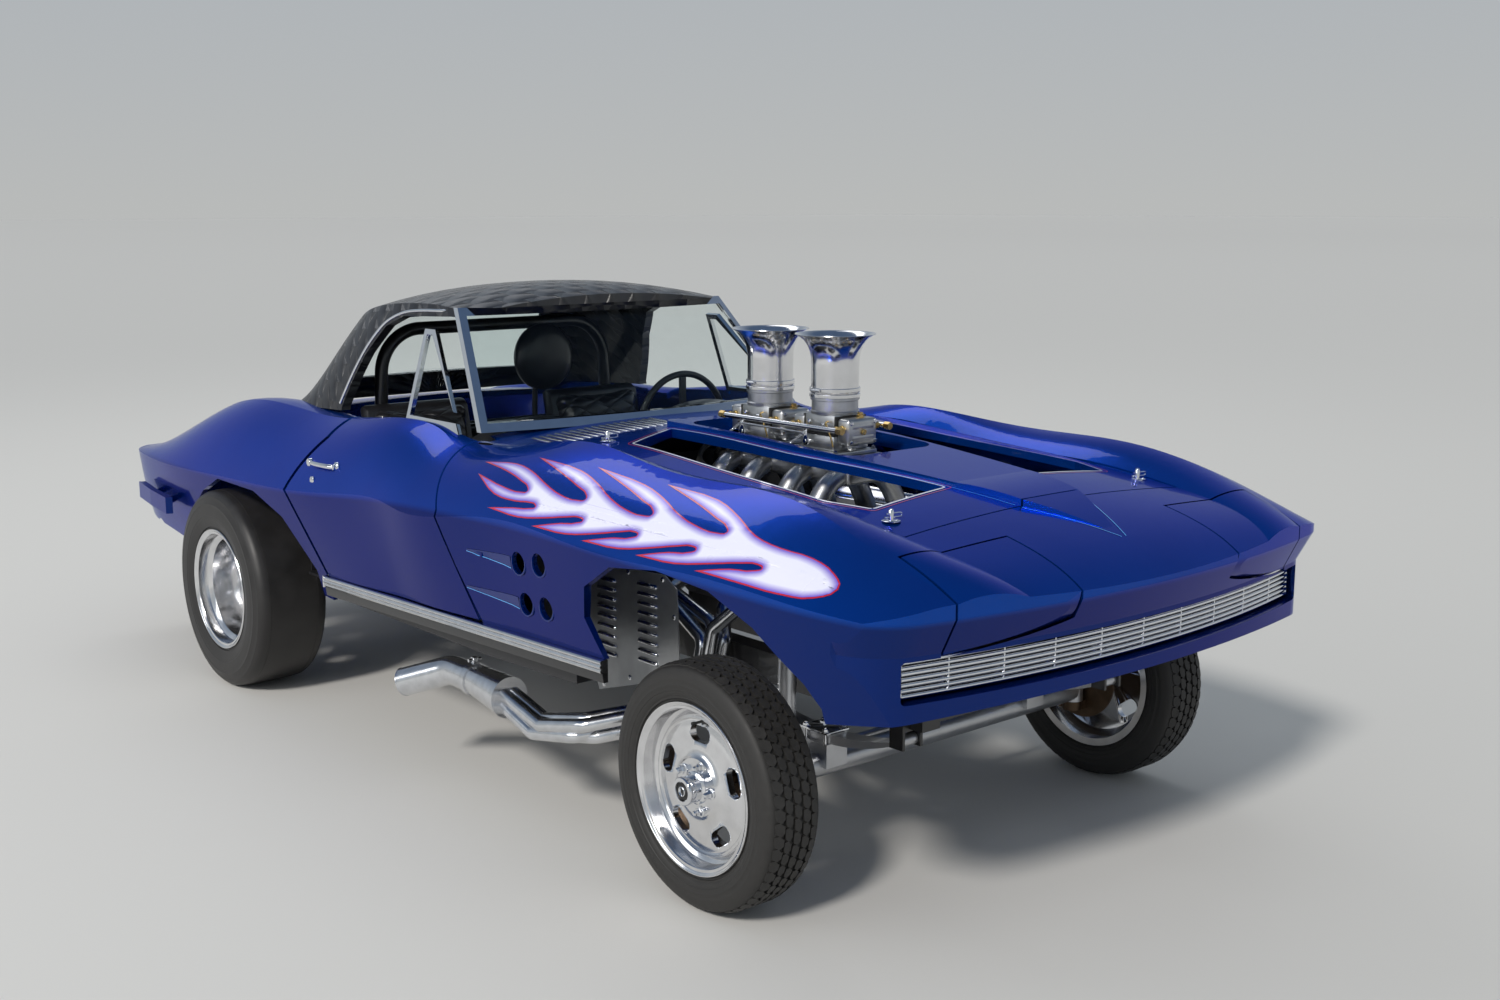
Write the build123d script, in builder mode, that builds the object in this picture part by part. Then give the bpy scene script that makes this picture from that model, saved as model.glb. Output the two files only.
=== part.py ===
from build123d import *
import os

# A fibreglass two-seat sports car rebuilt for drag racing. Millimetres.
# X points to the car's left, the nose points to -Y, Z is up and the tyres stand on Z = 0.
os.makedirs("parts", exist_ok=True)

# Driving dimensions of the running gear
WHEELBASE = 2530
REAR_AXLE_Y = 1045
FRONT_AXLE_Y = REAR_AXLE_Y - WHEELBASE
FRONT_TYRE_R = 302
FRONT_TYRE_W = 165
FRONT_WHEEL_X = 737.5
REAR_TYRE_R = 345
REAR_TYRE_W = 260
REAR_WHEEL_X = 770
RIM_LIP_R = 209.5
BEAD_SEAT_R = 196
KINGPIN_X = 600
FIT = 0.3
SEAM = 6
DOOR_GAP = 9

# Driving dimensions of the body
HALF_WIDTH = 884
SKIN = 22
NOSE_WALL = 30
ROOF_Z = 1402
COWL_Y = -600
FA = FRONT_AXLE_Y
RA = REAR_AXLE_Y

# Cross sections of the body. Each row: y, waist half-width as a share of HALF_WIDTH, waist z,
# fender peak x, fender peak z, inner x, inner z, centre z, how far the hem is set in, hem z
BODY_SECTIONS = (
    (FA - 775, 0.90, 748, 630, 754, 400, 766, 786, 139, 605),
    (FA - 625, 0.92, 815, 645, 868, 480, 876, 886, 139, 592),
    (FA - 510, 0.95, 822, 665, 910, 500, 905, 922, 109, 575),
    (FA - 365, 0.972, 831, 662, 957, 505, 928, 952, 84, 555),
    (FA, 0.985, 838, 648, 1006, 525, 960, 990, 72, 520),
    (FA + 435, 0.985, 839, 635, 1020, 550, 982, 1010, 69, 500),
    (COWL_Y, 0.99, 835, 648, 1008, 575, 992, 1018, 72, 470),
    (-150, 0.993, 813, 670, 998, 600, 988, 1015, 76, 450),
    (400, 0.995, 772, 685, 985, 600, 972, 990, 79, 425),
    (RA - 45, 0.995, 745, 668, 985, 480, 950, 960, 79, 410),
    (RA + 355, 0.982, 727, 650, 938, 460, 905, 915, 84, 420),
    (RA + 655, 0.945, 714, 620, 850, 430, 835, 848, 104, 440),
    (RA + 955, 0.885, 705, 570, 757, 400, 762, 775, 144, 448),
    (RA + 1120, 0.82, 700, 500, 716, 360, 722, 730, 204, 455),
    (RA + 1200, 0.74, 698, 430, 703, 300, 706, 709, 264, 462),
)
# The crease round the nose in plan: a shallow bow and a round corner on each side. Below the crease
# the nose panel leans in by NOSE_LEAN, and the tail panel by TAIL_LEAN
NOSE_Y = FA - 735
NOSE_CORNER = (HALF_WIDTH - 164, FA - 655)
NOSE_SIDE = (HALF_WIDTH - 32, FA - 500)
NOSE_LEAN, NOSE_BREAK = 36, (812, 735)
TAIL_LEAN, TAIL_Y = 70, RA + 1185


def body_section(row, inset, hem_drop):
    y, waist, waist_z, peak_x, peak_z, inner_x, inner_z, centre_z, hem, hem_z = row
    waist, hem, peak_x = waist * HALF_WIDTH - inset, HALF_WIDTH - hem - inset, peak_x - inset * 0.35
    peak_z, inner_z, centre_z = peak_z - inset, inner_z - inset, centre_z - inset
    waist_z, hem_z = waist_z - inset * 0.2, hem_z - hem_drop
    shoulder = (0.5 * (waist + peak_x) + 0.10 * (peak_z - waist_z), 0.39 * waist_z + 0.61 * peak_z)
    with BuildSketch(Plane.XZ.offset(-y)) as section:
        with BuildLine():
            Line((-hem, hem_z), (hem, hem_z))
            ThreePointArc((hem, hem_z), (0.5 * (hem + waist) + 5, 0.5 * (hem_z + waist_z)), (waist, waist_z))
            ThreePointArc((waist, waist_z), shoulder, (peak_x, peak_z))
            middle = (0.5 * (peak_x + inner_x), 0.5 * (peak_z + inner_z) + 0.08 * (peak_x - inner_x))
            ThreePointArc((peak_x, peak_z), middle, (inner_x, inner_z))
            ThreePointArc((inner_x, inner_z), (0, centre_z), (-inner_x, inner_z))
            ThreePointArc((-inner_x, inner_z), (-middle[0], middle[1]), (-peak_x, peak_z))
            ThreePointArc((-peak_x, peak_z), (-shoulder[0], shoulder[1]), (-waist, waist_z))
            low_bulge = (-0.5 * (hem + waist) - 5, 0.5 * (hem_z + waist_z))
            ThreePointArc((-waist, waist_z), low_bulge, (-hem, hem_z))
        make_face()
    return section.sketch


def body_blank(rows, inset, hem_drop):
    with BuildPart() as blank:
        loft(sections=[body_section(row, inset, hem_drop) for row in rows])
    return blank.part


def side_prism(points, depth=1000):
    with BuildPart() as prism:
        with BuildSketch(Plane.YZ):
            Polygon(*points, align=None)
        extrude(amount=depth, both=True)
    return prism.part


def plan_prism(points, z_low, z_high):
    with BuildPart() as prism:
        with BuildSketch(Plane.XY.offset(z_low)):
            Polygon(*points, align=None)
        extrude(amount=z_high - z_low)
    return prism.part


def mirrored(points):
    return list(points) + [(-x, y) for x, y in reversed(points) if x != 0]


def save(piece, name):
    piece.part.label = name
    export_step(piece.part, f"parts/{name}.step")


def save_pair(left, name):
    with BuildPart() as right:
        mirror(left.part, about=Plane.YZ)
    save(right, f"{name}_right")
    save(left, f"{name}_left")


def save_both(left, name):
    with BuildPart() as both:
        add(left.part)
        mirror(left.part, about=Plane.YZ)
    save(both, name)


def nose_plan(height, lean):
    corner = (NOSE_CORNER[0] - 0.4 * lean, NOSE_CORNER[1] + lean)
    side = (NOSE_SIDE[0] - lean, NOSE_SIDE[1])
    with BuildSketch(Plane.XY.offset(height)) as plan:
        with BuildLine():
            bow = ThreePointArc((-corner[0], corner[1]), (0, NOSE_Y + lean), corner)
            turn = TangentArc(corner, side, tangent=bow % 1)
            Polyline(side, (1000, FA - 330), (1000, FA + 500), (-1000, FA + 500), (-1000, FA - 330),
                     (-side[0], side[1]))
            mirror(turn, about=Plane.YZ)
        make_face()
    return plan.sketch


# Body blank and skin
with BuildPart() as end_trim:
    extrude(nose_plan(NOSE_BREAK[0], 0), amount=400)
    loft(sections=[nose_plan(NOSE_BREAK[1], NOSE_LEAN), nose_plan(NOSE_BREAK[0], 0)], ruled=True)
    extrude(nose_plan(NOSE_BREAK[1], NOSE_LEAN), amount=-400)
    with BuildSketch(Plane.YZ):
        Polygon((FA + 490, 300), (FA + 490, 1200), (TAIL_Y, 1200), (TAIL_Y, 698), (TAIL_Y - TAIL_LEAN, 400),
                (TAIL_Y - TAIL_LEAN, 300), align=None)
    extrude(amount=1000, both=True)
with BuildPart() as body:
    add(body_blank(BODY_SECTIONS, 0, 0))
    add(end_trim.part, mode=Mode.INTERSECT)
BODY = body.part
nose, tail = BODY_SECTIONS[2], BODY_SECTIONS[-2]
CAVITY_SECTIONS = ((nose[0] + NOSE_WALL, *nose[1:]), *BODY_SECTIONS[3:-2],
                   (tail[0] - SKIN - TAIL_LEAN, *tail[1:]))
CAVITY = body_blank(CAVITY_SECTIONS, SKIN, 60)

# The raised spine along the hood: half-width and top height at each station
SPINE = ((0, FA - 594), (105, FA - 385), (140, FA - 205), (190, FA + 335), (190, COWL_Y))
SPINE_TOP = ((FA - 594, 893), (FA - 379, 965), (FA, 1002), (COWL_Y, 1034))
HOOD = mirrored(((0, FA - 382), (502, FA - 386), (520, FA), (560, COWL_Y), (0, COWL_Y)))
HOOD_GAP = mirrored(((0, FA - 387), (507, FA - 391), (526, FA), (566, COWL_Y + 5), (0, COWL_Y + 5)))
CARB_HOLE = (170, -1340, -660)
CUT_OUT = ((212, -650), (425, -760), (462, FA - 90), (425, FA - 205), (165, FA - 185), (212, FA + 335))

with BuildPart() as spine:
    with BuildSketch(Plane.XY.offset(850)):
        Polygon(*mirrored(SPINE), align=None)
    extrude(amount=300)
    with BuildSketch(Plane.YZ):
        with BuildLine():
            Polyline(SPINE_TOP[3], (COWL_Y, 840), (FA - 594, 840), SPINE_TOP[0])
            ThreePointArc(SPINE_TOP[0], SPINE_TOP[1], (FA - 200, 985))
            ThreePointArc((FA - 200, 985), (FA + 300, 1018), SPINE_TOP[3])
        make_face()
    extrude(amount=400, both=True, mode=Mode.INTERSECT)

# Headlamp pods turn over inside a round opening in the nose
POD_Y, POD_Z, POD_R = FA - 603, 845, 119
POD_X = (298, 636)


def pod_barrel(x_low, x_high, radius):
    with BuildPart() as barrel:
        with BuildSketch(Plane.YZ.offset(x_low)):
            with Locations((POD_Y, POD_Z)):
                Circle(radius)
        extrude(amount=x_high - x_low)
    return barrel.part


PIVOT_R, PIVOT_L = 7, 14
GRILLE_TOP, GRILLE_LOW, GRILLE_HALF = 724, 632, HALF_WIDTH - 149

# Wheel arches in side view: y and z
ARCH_BACK = FA + FRONT_TYRE_R + 11
FRONT_ARCH = ((ARCH_BACK, 400), (ARCH_BACK, 549), (ARCH_BACK + 59, 650), (ARCH_BACK + 37, 735), (FA + 230, 805),
              (FA + 46, 828), (FA - 137, 812), (FA - 274, 754), (FA - 405, 651), (FA - 440, 600),
              (FA - 440, 400))
REAR_ARCH = ((401, 380), (401, 510), (RA - 480, 665), (RA - 300, 728), (RA - 12, 732), (RA + 145, 672),
             (RA + 285, 590), (RA + 385, 480), (RA + 400, 380))

# The rocker moulding runs below this line on each side
MOULD_LINE = ((ARCH_BACK - 5, 551), (330, 501))
MOULD_CUT = ((ARCH_BACK - 13, 400), (ARCH_BACK - 13, MOULD_LINE[0][1] + 2), (-590, 534), (-590, 400))

# Door outline in side view at the outer skin and 350 mm further in
DOOR_OUTER = ((-205, 1060), (-300, 960), (-449, 832), (-488, 752), (-594, 540), (330, 508), (500, 763),
              (405, 932), (470, 1060))
DOOR_INNER = ((-205, 1060), (-300, 960), (-440, 832), (-470, 752), (-560, 540), (270, 508), (440, 763),
              (365, 932), (400, 1060))
DOOR_X = (960, 560)


def grown(points, gap):
    middle_y = sum(y for y, z in points) / len(points)
    return [(y + (gap if y > middle_y else -gap), z - (gap if z < 600 else 0)) for y, z in points]


def door_wedge(gap):
    with BuildPart() as wedge:
        with BuildSketch(Plane.YZ.offset(DOOR_X[1])):
            Polygon(*grown(DOOR_INNER, gap), align=None)
        with BuildSketch(Plane.YZ.offset(DOOR_X[0])):
            Polygon(*grown(DOOR_OUTER, gap), align=None)
        loft(ruled=True)
    return wedge.part


# Gooseneck door hinge: the pin stands on the body ahead of the seam and the leaf hooks round to the door
HINGE_X, HINGE_Y, HINGE_LOW, HINGE_HIGH = HALF_WIDTH - 38, -650, 750, 810
HINGE_PIN_R, HINGE_EYE_R = 4, 9
# Where the inside of the door lies at the window sill, at mid height and below
DOOR_BACK = (HALF_WIDTH - 249, HALF_WIDTH - 184, HALF_WIDTH - 132)
LEAF_X, LEAF_T, LEAF_END = HALF_WIDTH - 204, 8, -425
DOOR_CUT = door_wedge(DOOR_GAP)
DOOR_CUT_RIGHT = mirror(DOOR_CUT, about=Plane.YZ)
CABIN_X = HALF_WIDTH - 294
CABIN = mirrored(((0, -230), (CABIN_X - 30, -230), (CABIN_X, 20), (CABIN_X, RA - 265),
                  (CABIN_X - 70, RA - 85), (0, RA - 5)))

with BuildPart() as shell:
    add(BODY)
    add(spine.part)
    add(CAVITY, mode=Mode.SUBTRACT)
    with BuildSketch(Plane.XY.offset(600)):
        Polygon(*mirrored(((0, FA - 190), (112, FA - 190), (170, FA + 335), (170, COWL_Y - 20),
                           (0, COWL_Y - 20))), align=None)
    extrude(amount=365, mode=Mode.SUBTRACT)

# Four posts on brackets under the fender edges hold the lift-off hood. Each row: x, y, post top
HOOD_PINS = ((458, FA - 300, 965), (448, -665, 1020))
POST_R, POST_LOW = 6, 872
with BuildPart() as hood_brackets:
    for x, y, top in HOOD_PINS:
        with BuildSketch(Plane.XY.offset(POST_LOW)):
            with Locations((0.5 * (x + 580), y)):
                Rectangle(580 - x + 30, 30)
        extrude(amount=8)
        with BuildSketch(Plane.XY.offset(POST_LOW)):
            with Locations((583, y)):
                Rectangle(24, 30)
        extrude(amount=150)
    mirror(about=Plane.YZ)
    add(BODY, mode=Mode.INTERSECT)
    add(plan_prism(HOOD_GAP, POST_LOW + 8, 1100), mode=Mode.SUBTRACT)
    for x, y, top in HOOD_PINS:
        with BuildSketch(Plane.XY.offset(POST_LOW)):
            with Locations((x, y), (-x, y)):
                Circle(POST_R)
        extrude(amount=top - POST_LOW)

with BuildPart() as hood:
    add(shell.part)
    add(plan_prism(HOOD, 860, 1100), mode=Mode.INTERSECT)
    with BuildSketch(Plane.XY.offset(860)):
        with Locations((0, 0.5 * (CARB_HOLE[1] + CARB_HOLE[2]))):
            RectangleRounded(2 * CARB_HOLE[0], CARB_HOLE[2] - CARB_HOLE[1], 60)
        Polygon(*CUT_OUT, align=None)
        mirror(about=Plane.YZ)
        for x, y, top in HOOD_PINS:
            with Locations((x, y), (-x, y)):
                Circle(POST_R + 0.7)
    extrude(amount=300, mode=Mode.SUBTRACT)
save(hood, "hood")

with BuildPart() as front_body:
    add(shell.part)
    add(side_prism(((FA - 760, 300), (FA - 760, 1100), (-150, 1100), (-150, 1000), (-300, 966), (-449, 838),
                    (-488, 752), (-600, 540), (-600, 300))), mode=Mode.INTERSECT)
    add(plan_prism(HOOD_GAP, 860, 1100), mode=Mode.SUBTRACT)
    add(plan_prism(CABIN, 860, 1100), mode=Mode.SUBTRACT)
    add(side_prism(FRONT_ARCH), mode=Mode.SUBTRACT)
    add(DOOR_CUT, mode=Mode.SUBTRACT)
    add(DOOR_CUT_RIGHT, mode=Mode.SUBTRACT)
    add(side_prism(MOULD_CUT), mode=Mode.SUBTRACT)
    for sign in (-1, 1):
        low = POD_X[0] - SEAM if sign > 0 else -POD_X[1] - SEAM
        high = low + POD_X[1] - POD_X[0] + 2 * SEAM
        add(pod_barrel(low, high, POD_R + SEAM), mode=Mode.SUBTRACT)
        add(pod_barrel(low - PIVOT_L, high + PIVOT_L, PIVOT_R + FIT), mode=Mode.SUBTRACT)
    with BuildSketch(Plane.XZ.offset(-(FA - 500))):
        with Locations((0, 0.5 * (GRILLE_TOP + GRILLE_LOW))):
            RectangleRounded(2 * GRILLE_HALF, GRILLE_TOP - GRILLE_LOW, 10)
    extrude(amount=300, mode=Mode.SUBTRACT)
    with BuildSketch(Plane.YZ):
        for vent_y, vent_z in ((-832, 743), (-931, 755), (-842, 634), (-936, 639)):
            with Locations((vent_y, vent_z)):
                Circle(30)
    extrude(amount=1000, both=True, mode=Mode.SUBTRACT)
    add(hood_brackets.part)
    with BuildSketch(Plane.XY.offset(HINGE_LOW - 20)):
        with Locations((-HINGE_X, HINGE_Y), (HINGE_X, HINGE_Y)):
            Circle(HINGE_EYE_R + 3)
    extrude(amount=HINGE_HIGH - HINGE_LOW + 40, mode=Mode.SUBTRACT)
    with BuildSketch(Plane.XY.offset(HINGE_LOW - 18)):
        with Locations((-HINGE_X - 4, HINGE_Y), (HINGE_X + 4, HINGE_Y)):
            Rectangle(26, 30)
    extrude(amount=12)
    with BuildSketch(Plane.XY.offset(HINGE_HIGH + 6)):
        with Locations((-HINGE_X - 4, HINGE_Y), (HINGE_X + 4, HINGE_Y)):
            Rectangle(26, 30)
    extrude(amount=12)
    with BuildSketch(Plane.XY.offset(HINGE_LOW - 10)):
        with Locations((-HINGE_X, HINGE_Y), (HINGE_X, HINGE_Y)):
            Circle(HINGE_PIN_R)
    extrude(amount=HINGE_HIGH - HINGE_LOW + 20)
save(front_body, "front_body")

# Four round tail lamp wells
LAMP_X, LAMP_Z, LAMP_R, LAMP_DEPTH = (380, 520), 592, 52, 14
with BuildPart() as rear_body:
    add(shell.part)
    add(side_prism(((330, 300), (330, 508), (505, 763), (412, 932), (440, 1060), (RA + 1200, 1060),
                    (RA + 1200, 300))), mode=Mode.INTERSECT)
    add(plan_prism(CABIN, 860, 1100), mode=Mode.SUBTRACT)
    add(side_prism(REAR_ARCH), mode=Mode.SUBTRACT)
    add(DOOR_CUT, mode=Mode.SUBTRACT)
    add(DOOR_CUT_RIGHT, mode=Mode.SUBTRACT)
    with BuildSketch(Plane.XZ.offset(-TAIL_Y + LAMP_DEPTH + 0.4 * TAIL_LEAN)):
        with Locations(*[(x, LAMP_Z) for x in (-LAMP_X[1], -LAMP_X[0], LAMP_X[0], LAMP_X[1])]):
            Circle(LAMP_R)
    extrude(amount=-200, mode=Mode.SUBTRACT)
save(rear_body, "rear_body")

with BuildPart() as door:
    add(BODY)
    add(door_wedge(0), mode=Mode.INTERSECT)
    with BuildSketch(Plane.XZ):
        Polygon((DOOR_BACK[0], 1100), (DOOR_BACK[0], 950), (DOOR_BACK[1], 850), (DOOR_BACK[2], 760),
                (DOOR_BACK[2], 400), (1000, 400), (1000, 1100), align=None)
    extrude(amount=1200, both=True, mode=Mode.INTERSECT)
    with BuildSketch(Plane.XY.offset(HINGE_LOW)):
        Polygon((HINGE_X, HINGE_Y - 0.5 * LEAF_T), (LEAF_X, HINGE_Y - 0.5 * LEAF_T), (LEAF_X, LEAF_END),
                (DOOR_BACK[2] + 13, LEAF_END), (DOOR_BACK[2] + 13, LEAF_END - 20),
                (LEAF_X + LEAF_T, LEAF_END - 20), (LEAF_X + LEAF_T, HINGE_Y + 0.5 * LEAF_T),
                (HINGE_X, HINGE_Y + 0.5 * LEAF_T), align=None)
        with Locations((HINGE_X, HINGE_Y)):
            Circle(HINGE_EYE_R)
            Circle(HINGE_PIN_R + FIT, mode=Mode.SUBTRACT)
    extrude(amount=HINGE_HIGH - HINGE_LOW)
save_pair(door, "door")

with BuildPart() as pod:
    add(BODY)
    add(pod_barrel(POD_X[0], POD_X[1], POD_R), mode=Mode.INTERSECT)
    add(pod_barrel(POD_X[0] - SEAM - PIVOT_L + 2, POD_X[1] + SEAM + PIVOT_L - 2, PIVOT_R))
save_pair(pod, "headlamp_pod")

# Hardtop. Each row: y, how far the foot is set in, foot z, shoulder x, shoulder z, crown z
HARDTOP_SECTIONS = (
    (-60, 324, 1000, 505, 1330, 1374),
    (35, 284, 996, 510, 1342, ROOF_Z - 8),
    (350, 262, 992, 500, 1345, ROOF_Z),
    (650, 259, 986, 470, 1312, ROOF_Z - 30),
    (850, 272, 976, 425, 1240, ROOF_Z - 92),
    (1000, 299, 968, 375, 1125, ROOF_Z - 205),
    (1110, 344, 962, 330, 1010, ROOF_Z - 352),
)
ROOF_WALL = 28
GLASS = 6


def roof_section(row, inset):
    y, foot, foot_z, shoulder, shoulder_z, crown = row
    foot, shoulder = HALF_WIDTH - foot - inset, shoulder - inset * 0.7
    foot_z, shoulder_z, crown = foot_z - inset, shoulder_z - inset * 0.8, crown - inset
    bulge = (0.5 * (foot + shoulder) + 0.07 * (shoulder_z - foot_z), 0.5 * (foot_z + shoulder_z))
    with BuildSketch(Plane.XZ.offset(-y)) as section:
        with BuildLine():
            Line((-foot, foot_z), (foot, foot_z))
            ThreePointArc((foot, foot_z), bulge, (shoulder, shoulder_z))
            ThreePointArc((shoulder, shoulder_z), (0, crown), (-shoulder, shoulder_z))
            ThreePointArc((-shoulder, shoulder_z), (-bulge[0], bulge[1]), (-foot, foot_z))
        make_face()
    return section.sketch


def roof_blank(inset, rear_shift):
    rows = [row for row in HARDTOP_SECTIONS]
    rows[-1] = (rows[-1][0] - rear_shift, *rows[-1][1:])
    with BuildPart() as blank:
        loft(sections=[roof_section(row, inset) for row in rows])
    return blank.part


# Windshield: a curved band that leans back from the cowl to the header
SCREEN_BASE = (0, -335, 1000)
SCREEN_RISE = Vector(0, 305, 345)
SCREEN_HALF = (HALF_WIDTH - 272, 512)
SCREEN_SAG = 85
FRAME_BAR = 24


def screen_band(front, back):
    base = SCREEN_BASE[1]
    corner = base + SCREEN_SAG
    half = SCREEN_HALF[0] + 60
    with BuildPart() as band:
        with BuildSketch(Plane.XY.offset(SCREEN_BASE[2])):
            with BuildLine():
                ThreePointArc((-half, corner + front), (0, base + front), (half, corner + front))
                Line((half, corner + front), (half, corner + back))
                ThreePointArc((half, corner + back), (0, base + back), (-half, corner + back))
                Line((-half, corner + back), (-half, corner + front))
            make_face()
        extrude(amount=SCREEN_RISE.length, dir=SCREEN_RISE)
    return band.part


def screen_window(bar, low, high):
    slope = (SCREEN_HALF[0] - SCREEN_HALF[1]) / SCREEN_RISE.Z
    z_low, z_high = SCREEN_BASE[2] + low, SCREEN_BASE[2] + SCREEN_RISE.Z - high
    low_x = SCREEN_HALF[0] - slope * low - bar
    high_x = SCREEN_HALF[1] + slope * high - bar
    with BuildPart() as window:
        with BuildSketch(Plane.XZ):
            Polygon((-low_x, z_low), (low_x, z_low), (high_x, z_high), (-high_x, z_high), align=None)
        extrude(amount=600, both=True)
    return window.part


WINDOW_FRONT = screen_window(FRAME_BAR, FRAME_BAR, FRAME_BAR)
with BuildPart() as windshield_frame:
    add(screen_band(0, FRAME_BAR))
    add(screen_window(0, 0, 0), mode=Mode.INTERSECT)
    add(WINDOW_FRONT, mode=Mode.SUBTRACT)
    add(BODY, mode=Mode.SUBTRACT)
save(windshield_frame, "windshield_frame")

ROOF_BLANK = roof_blank(0, 0)
ROOF_CAVITY = roof_blank(ROOF_WALL, 40)
SIDE_WINDOW = ((-300, 900), (-300, 1318), (40, 1318), (330, 1306), (425, 1270), (500, 1180), (590, 1000),
               (590, 900))
REAR_WINDOW = ((-400, 1040), (400, 1040), (385, 1170), (330, 1262), (-330, 1262), (-385, 1170))
with BuildPart() as hardtop:
    add(ROOF_BLANK)
    add(ROOF_CAVITY, mode=Mode.SUBTRACT)
    add(side_prism(SIDE_WINDOW), mode=Mode.SUBTRACT)
    add(screen_band(-400, FRAME_BAR + 1), mode=Mode.SUBTRACT)
    with BuildSketch(Plane.XZ.offset(-800)):
        Polygon(*REAR_WINDOW, align=None)
    extrude(amount=-600, mode=Mode.SUBTRACT)
    add(BODY, mode=Mode.SUBTRACT)
    with BuildSketch(Plane.XY.offset(800)):
        Rectangle(1400, 3000)
    extrude(amount=162, mode=Mode.SUBTRACT)
save(hardtop, "hardtop")

with BuildPart() as window_glass:
    add(screen_band(8, 8 + GLASS))
    add(screen_window(FRAME_BAR + FIT, FRAME_BAR + FIT, FRAME_BAR + FIT), mode=Mode.INTERSECT)
with BuildPart() as rear_glass:
    add(ROOF_BLANK)
    add(roof_blank(GLASS, 6), mode=Mode.SUBTRACT)
    with BuildSketch(Plane.XZ.offset(-800)):
        Polygon(*REAR_WINDOW, align=None)
        offset(amount=-FIT)
    extrude(amount=-600, mode=Mode.INTERSECT)
with BuildPart() as glazing:
    add(window_glass.part)
    add(rear_glass.part)
save(glazing, "window_glass")

# Vent windows stand on the doors behind the windshield pillars
with BuildPart() as vent_window:
    with BuildSketch(Plane((DOOR_BACK[0] + 7, 0, 990), x_dir=(0, 1, 0), z_dir=(1, 0, 0.31))):
        Polygon((-206, -12), (122, -12), (135, 300), (74, 300), align=None)
        Polygon((-172, 30), (105, 30), (116, 283), (84, 283), align=None, mode=Mode.SUBTRACT)
    extrude(amount=7, both=True)
    add(BODY, mode=Mode.SUBTRACT)
save_pair(vent_window, "vent_window")

# Frame rails run the length of the car; the front ends carry the spring hangers
RAIL_X, RAIL_W, RAIL_H = 360, 60, 80
RAIL_LINE = ((FA - 345, 475), (-760, 475), (-640, 400), (675, 400), (830, 475), (RA + 880, 490))
# Crossmembers, butted between the rails. Each row: y, z
CROSSMEMBERS = ((FA - 318, 475), (COWL_Y - 685, 475), (-560, 400), (480, 400), (RA - 200, 480), (RA + 330, 480),
                (RA + 860, 490))
SPRING_X, SPRING_W = 380, 50
EYE_Y, EYE_Z, EYE_R = 283, 402, 15
LADDER_X = 410
FRONT_SHOCK_X, REAR_SHOCK_X = 450 - 24 - FIT, 440 - 26 - FIT
with BuildPart() as rail:
    with BuildSketch(Plane.YZ.offset(RAIL_X - 0.5 * RAIL_W)):
        Polygon(*[(y, z + 0.5 * RAIL_H) for y, z in RAIL_LINE],
                *[(y, z - 0.5 * RAIL_H) for y, z in reversed(RAIL_LINE)], align=None)
    extrude(amount=RAIL_W)
    with BuildSketch(Plane.YZ.offset(SPRING_X - 0.5 * SPRING_W - 9)):
        for end in (-1, 1):
            with Locations((FA + end * EYE_Y, 415)):
                Rectangle(44, 60)
    extrude(amount=8)
    with BuildSketch(Plane.YZ.offset(SPRING_X + 0.5 * SPRING_W + 1)):
        for end in (-1, 1):
            with Locations((FA + end * EYE_Y, 415)):
                Rectangle(44, 60)
    extrude(amount=8)
    with BuildSketch(Plane.YZ.offset(SPRING_X - 0.5 * SPRING_W - 9)):
        for end in (-1, 1):
            with Locations((FA + end * EYE_Y, EYE_Z)):
                Circle(6)
    extrude(amount=SPRING_W + 18)
    with BuildSketch(Plane.YZ.offset(RAIL_X)):
        for end in (-1, 1):
            with Locations((FA + end * EYE_Y, 440)):
                Rectangle(44, 20)
    extrude(amount=54)
    with BuildSketch(Plane.XY.offset(312)):
        with Locations((RAIL_X + 0.5 * RAIL_W, 370)):
            Rectangle(2 * (LADDER_X - FIT - RAIL_X - 0.5 * RAIL_W), 50)
    extrude(amount=88)
    for y, top_x, top_z in ((FA + 60, FRONT_SHOCK_X, 650), (RA + 91, REAR_SHOCK_X, 650)):
        with BuildSketch(Plane.XY.offset(470)):
            with Locations((RAIL_X + 0.5 * RAIL_W + 5, y)):
                Rectangle(10, 50)
        extrude(amount=top_z - 470)
        with BuildSketch(Plane.XY.offset(top_z - 20)):
            with Locations((0.5 * (RAIL_X + 0.5 * RAIL_W + top_x), y)):
                Rectangle(top_x - RAIL_X - 0.5 * RAIL_W, 50)
        extrude(amount=20)
with BuildPart() as frame:
    add(rail.part)
    mirror(rail.part, about=Plane.YZ)
    for y, z in CROSSMEMBERS:
        with BuildSketch(Plane.XZ.offset(-y)):
            with Locations((0, z)):
                Rectangle(2 * (RAIL_X - 0.5 * RAIL_W - FIT), 50)
        extrude(amount=25, both=True)
save(frame, "frame")

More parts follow.
